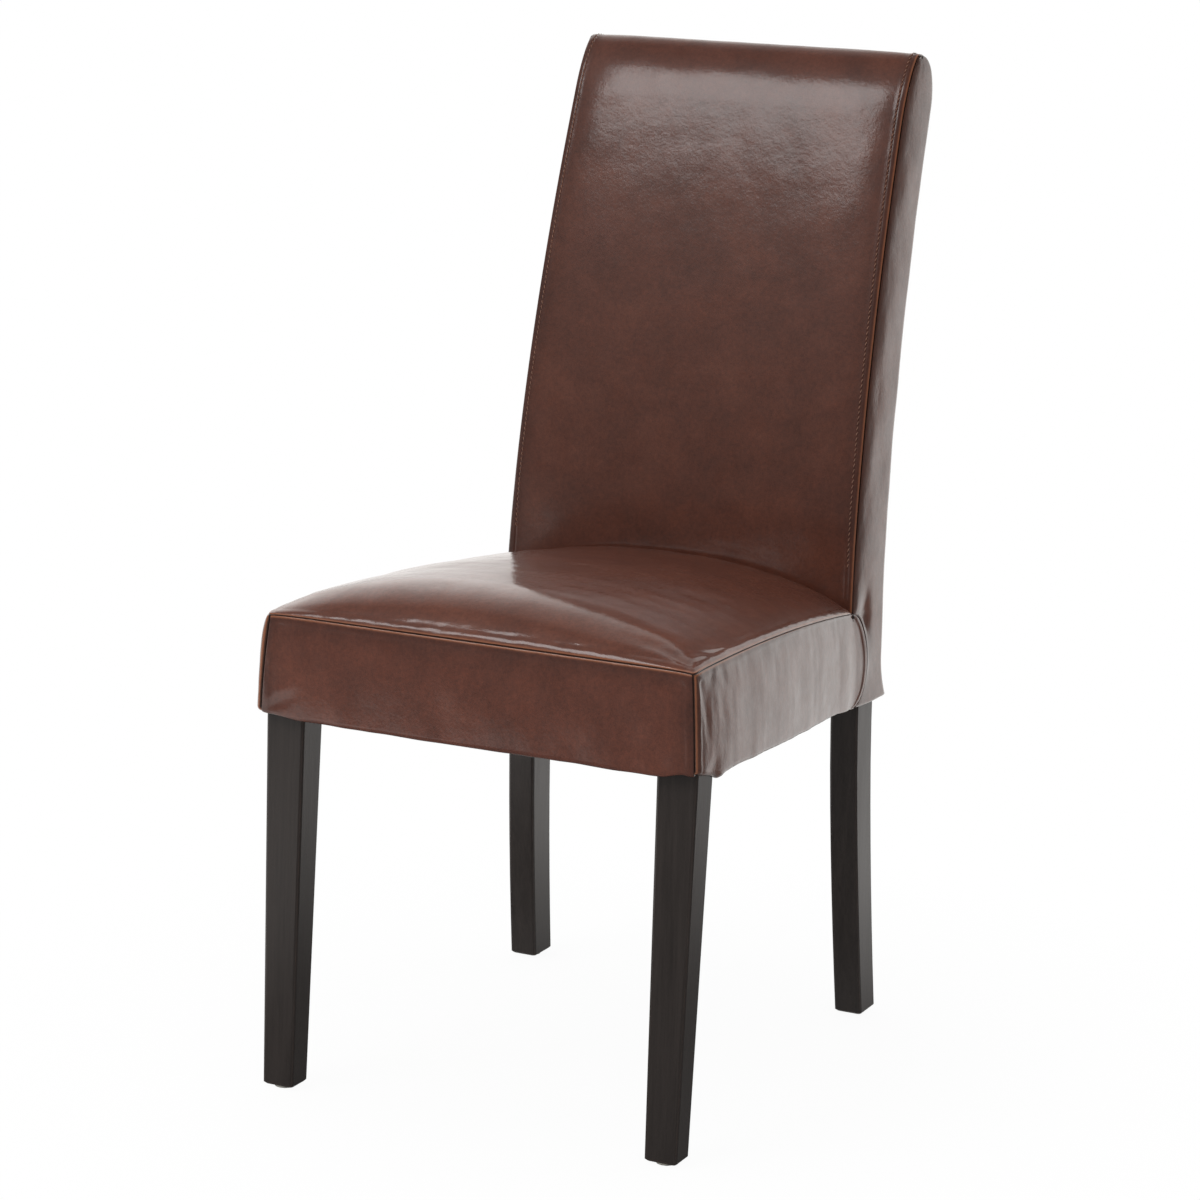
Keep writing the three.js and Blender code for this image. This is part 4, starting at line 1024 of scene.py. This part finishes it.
layer = wadding_points()
wadding = put("seat_wadding_layer", mesh_from("seat_wadding_layer", *shell(layer, (0, -1, 1), 5.0)), wadding_skin)
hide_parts("seat_wadding")

y, across = np.meshgrid(np.linspace(13, 462, 30), np.linspace(-1, 1, 31), indexing="ij")
top_x = across * (half_seat(y) - 11)
top = np.stack([top_x, y, seat_z(top_x, y) - 12.5], axis=-1)
base = np.stack([across * (half_seat(y) - 5), y, deck_z(y)], axis=-1)
seat_cushion = inflated("seat_cushion", top, base, foam_skin, 4.0)
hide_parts("seat_foam")


def back_layers():
    outer, inner = [], []
    across = np.linspace(-1, 1, 25)
    for z in np.linspace(BACK_FOOT - 16, SPRING, 28)[:-1]:
        half = float(half_back(z)) - 9
        outer.append([(a * half, face_y(z) + 6, z) for a in across])
        inner.append([(a * half, face_y(z) + FACE_TO_POST - 3.6, z) for a in across])
    for angle in np.linspace(0, math.pi, 16):
        y, z, half, _ = (float(v) for v in top_point(angle, 6.0))
        rise = share(math.sin(angle) * math.sqrt(2)) * 16.3
        turn = np.clip(math.cos(angle) * math.sqrt(2), -1, 1)
        front, rear = face_y(SPRING + rise) + FACE_TO_POST - 3.6, face_y(SPRING + rise) + FACE_TO_POST + 37.5
        outer.append([(a * (half - 9), y, z) for a in across])
        inner.append([(a * (half - 9), lerp(rear, front, (1 + turn) / 2), SPRING + rise) for a in across])
    return np.array(outer, dtype=float), np.array(inner, dtype=float)


back_cushion = inflated("back_cushion", *back_layers(), foam_skin, 3.5)
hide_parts("back_foam")

z, across = np.meshgrid(np.linspace(362, SPRING - 6, 46), np.linspace(-1, 1, 25), indexing="ij")
pad_x = across * (half_back(z) - REAR_PULL - 8)
rear = np.stack([pad_x, rear_y(z) - 5.6, z], axis=-1)
posts = np.stack([pad_x, face_y(z) + FACE_TO_POST + 1.2 + lerp(46, 36, share(back_share(z))), z], axis=-1)
rear_cushion = inflated("rear_cushion", rear, posts, wadding_skin, 3.0)
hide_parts("back_rear_pad")

# Carried-over frame: every node keeps its shape, and each node whose slot is listed gets that finish
FINISH = {
    "dark_wood": dark_wood, "frame_wood": frame_wood, "webbing": webbing, "dust_cloth": dust_cloth,
    "foam": foam_skin, "wadding": wadding_skin, "screw_steel": steel, "nylon": nylon,
}
for row in frame["record"]["subparts"]:
    finish = FINISH.get(row["material_slot"])
    if finish:
        for found in [o for o in bpy.data.objects if o.name == row["node"]]:
            for spot in found.material_slots:
                spot.material = finish

# Studio, in metres
FLOOR = 60.0
WHITE = (1, 1, 1, 1)
WARM_WHITE = (1, 0.975, 0.95, 1)


def light_path(tree):
    path = node(tree, "ShaderNodeLightPath").outputs
    return path["Is Camera Ray"], calc(tree, "MAXIMUM", path["Is Glossy Ray"], path["Is Transmission Ray"])


def studio_floor():
    """Matte floor that camera rays see as nearly white, and glossy rays as pale walls by their direction."""
    mesh = bpy.data.meshes.new("floor")
    mesh.from_pydata([(FLOOR * x, FLOOR * y, 0) for x, y in ((-1, -1), (1, -1), (1, 1), (-1, 1))], [], [(0, 1, 2, 3)])
    floor = bpy.data.objects.new("floor", mesh)
    bpy.context.scene.collection.objects.link(floor)
    material = bpy.data.materials.new("floor")
    tree, out = empty_tree(material, "ShaderNodeOutputMaterial")
    matte = node(tree, "ShaderNodeBsdfDiffuse", {"Color": (0.82, 0.82, 0.82, 1)})
    place = tree.nodes.new("ShaderNodeTexCoord").outputs["Object"]
    level = vector(tree, "NORMALIZE", vector(tree, "SUBTRACT", place, (0.25, 0, 0))[0])[0]
    turned, spot = apart(tree, level), apart(tree, place)
    sweep = ranged(tree, turned["Y"], 0.84, 0.91, 0.09, 1.12, "SMOOTHSTEP")
    left = ranged(tree, turned["X"], -0.2, -0.4, 0.09, 1.0, "SMOOTHSTEP")
    left = ranged(tree, turned["Y"], 0.0, 0.3, 0.09, left)
    behind = ranged(tree, spot["Y"], 0.05, 0.8, 0.14, calc(tree, "MAXIMUM", sweep, left))
    beside = ranged(tree, spot["X"], -0.28, -0.6, 0.0, 1.0, "SMOOTHSTEP")
    beside = ranged(tree, spot["Y"], -1.9, -1.4, 0.0, beside)
    seen_by_camera, shiny = light_path(tree)
    reflected = node(tree, "ShaderNodeEmission", {
        "Color": WARM_WHITE, "Strength": calc(tree, "MAXIMUM", behind, beside)})
    white = node(tree, "ShaderNodeEmission", {"Color": WHITE, "Strength": 1.0})
    seen = node(tree, "ShaderNodeMixShader", {0: shiny, 1: white.outputs[0], 2: reflected.outputs[0]})
    fade = ranged(tree, vector(tree, "LENGTH", place)["Value"], 0.3, 0.8, 0.95, 1.0)
    amount = calc(tree, "MULTIPLY", calc(tree, "MAXIMUM", seen_by_camera, shiny), fade)
    both = node(tree, "ShaderNodeMixShader", {0: amount, 1: matte.outputs[0], 2: seen.outputs[0]})
    tree.links.new(both.outputs[0], out.inputs[0])
    mesh.materials.append(material)


def studio_world():
    """White for the camera, a dark room with pale walls behind and on the left for reflections, soft light else."""
    world = bpy.data.worlds.new("studio")
    bpy.context.scene.world = world
    tree, out = empty_tree(world, "ShaderNodeOutputWorld")
    place = tree.nodes.new("ShaderNodeTexCoord").outputs["Generated"]
    level = vector(tree, "NORMALIZE", vector(tree, "MULTIPLY", place, (1, 1, 0))[0])[0]
    turned, spot = apart(tree, level), apart(tree, place)
    sweep = ranged(tree, turned["Y"], 0.85, 0.92, 0.08, 1.0, "SMOOTHSTEP")
    left = ranged(tree, turned["X"], -0.3, -0.5, 0.0, 1.5, "SMOOTHSTEP")
    left = ranged(tree, turned["Y"], 0.1, 0.5, 0.0, left)
    left = calc(tree, "MULTIPLY", left, ranged(tree, spot["Z"], 0.0, 0.3, 0.6, 1.0))
    high = ranged(tree, spot["Z"], 0.6, 0.95, 1.0, 0.16, "SMOOTHSTEP")
    around = calc(tree, "MULTIPLY", calc(tree, "MAXIMUM", sweep, left), high)
    glossy = node(tree, "ShaderNodeBackground", {"Color": WARM_WHITE, "Strength": around})
    white = node(tree, "ShaderNodeBackground", {"Color": WHITE, "Strength": 1.0})
    above = ranged(tree, spot["Z"], 0.0, 1.0, 0.0, 0.7)
    total = calc(tree, "ADD", above, ranged(tree, spot["X"], -0.7, 0.7, 0.85, 0.16))
    soft = node(tree, "ShaderNodeBackground", {"Color": WHITE, "Strength": total})
    seen_by_camera, shiny = light_path(tree)
    first = node(tree, "ShaderNodeMixShader", {0: shiny, 1: soft.outputs[0], 2: glossy.outputs[0]})
    second = node(tree, "ShaderNodeMixShader", {0: seen_by_camera, 1: first.outputs[0], 2: white.outputs[0]})
    tree.links.new(second.outputs[0], out.inputs[0])


def softbox(name, place, target, width, height, power):
    data = bpy.data.lights.new(name, "AREA")
    data.shape = "RECTANGLE"
    data.size = width
    data.size_y = height
    data.energy = power
    lamp = bpy.data.objects.new(name, data)
    lamp.location = place
    lamp.rotation_euler = (Vector(place) - Vector(target)).to_track_quat("Z", "Y").to_euler()
    bpy.context.scene.collection.objects.link(lamp)


studio_floor()
studio_world()
softbox("key", (-2.12, -3.91, 4.73), (0.0, 0.245, 0.95), 2.35, 2.45, 86)

# Camera at the photograph's view, with its focal length in pixels of the photograph's width
AZIMUTH, ELEVATION, ROLL = math.radians(24.82), math.radians(11.7), math.radians(2.24)
CAMERA_PLACE = (1494.4, -2953.5, 1216.5)
FOCAL, PHOTO_WIDTH, SENSOR = 3584.12, 1200, 36
back = Vector((math.sin(AZIMUTH) * math.cos(ELEVATION), -math.cos(AZIMUTH) * math.cos(ELEVATION), math.sin(ELEVATION)))
right = Vector((math.cos(AZIMUTH), math.sin(AZIMUTH), 0))
upward = back.cross(right)
across = math.cos(ROLL) * right + math.sin(ROLL) * upward
above = -math.sin(ROLL) * right + math.cos(ROLL) * upward
camera_data = bpy.data.cameras.new("camera")
camera_data.sensor_width = SENSOR
camera_data.lens = FOCAL / PHOTO_WIDTH * SENSOR
camera_data.clip_end = 200
camera = bpy.data.objects.new("camera", camera_data)
bpy.context.scene.collection.objects.link(camera)
camera.matrix_world = Matrix.Translation(to_metres(CAMERA_PLACE)) @ Matrix((
    (across.x, above.x, back.x, 0), (across.y, above.y, back.y, 0), (across.z, above.z, back.z, 0), (0, 0, 0, 1)))
bpy.context.scene.camera = camera
bpy.context.scene.view_settings.view_transform = "Standard"
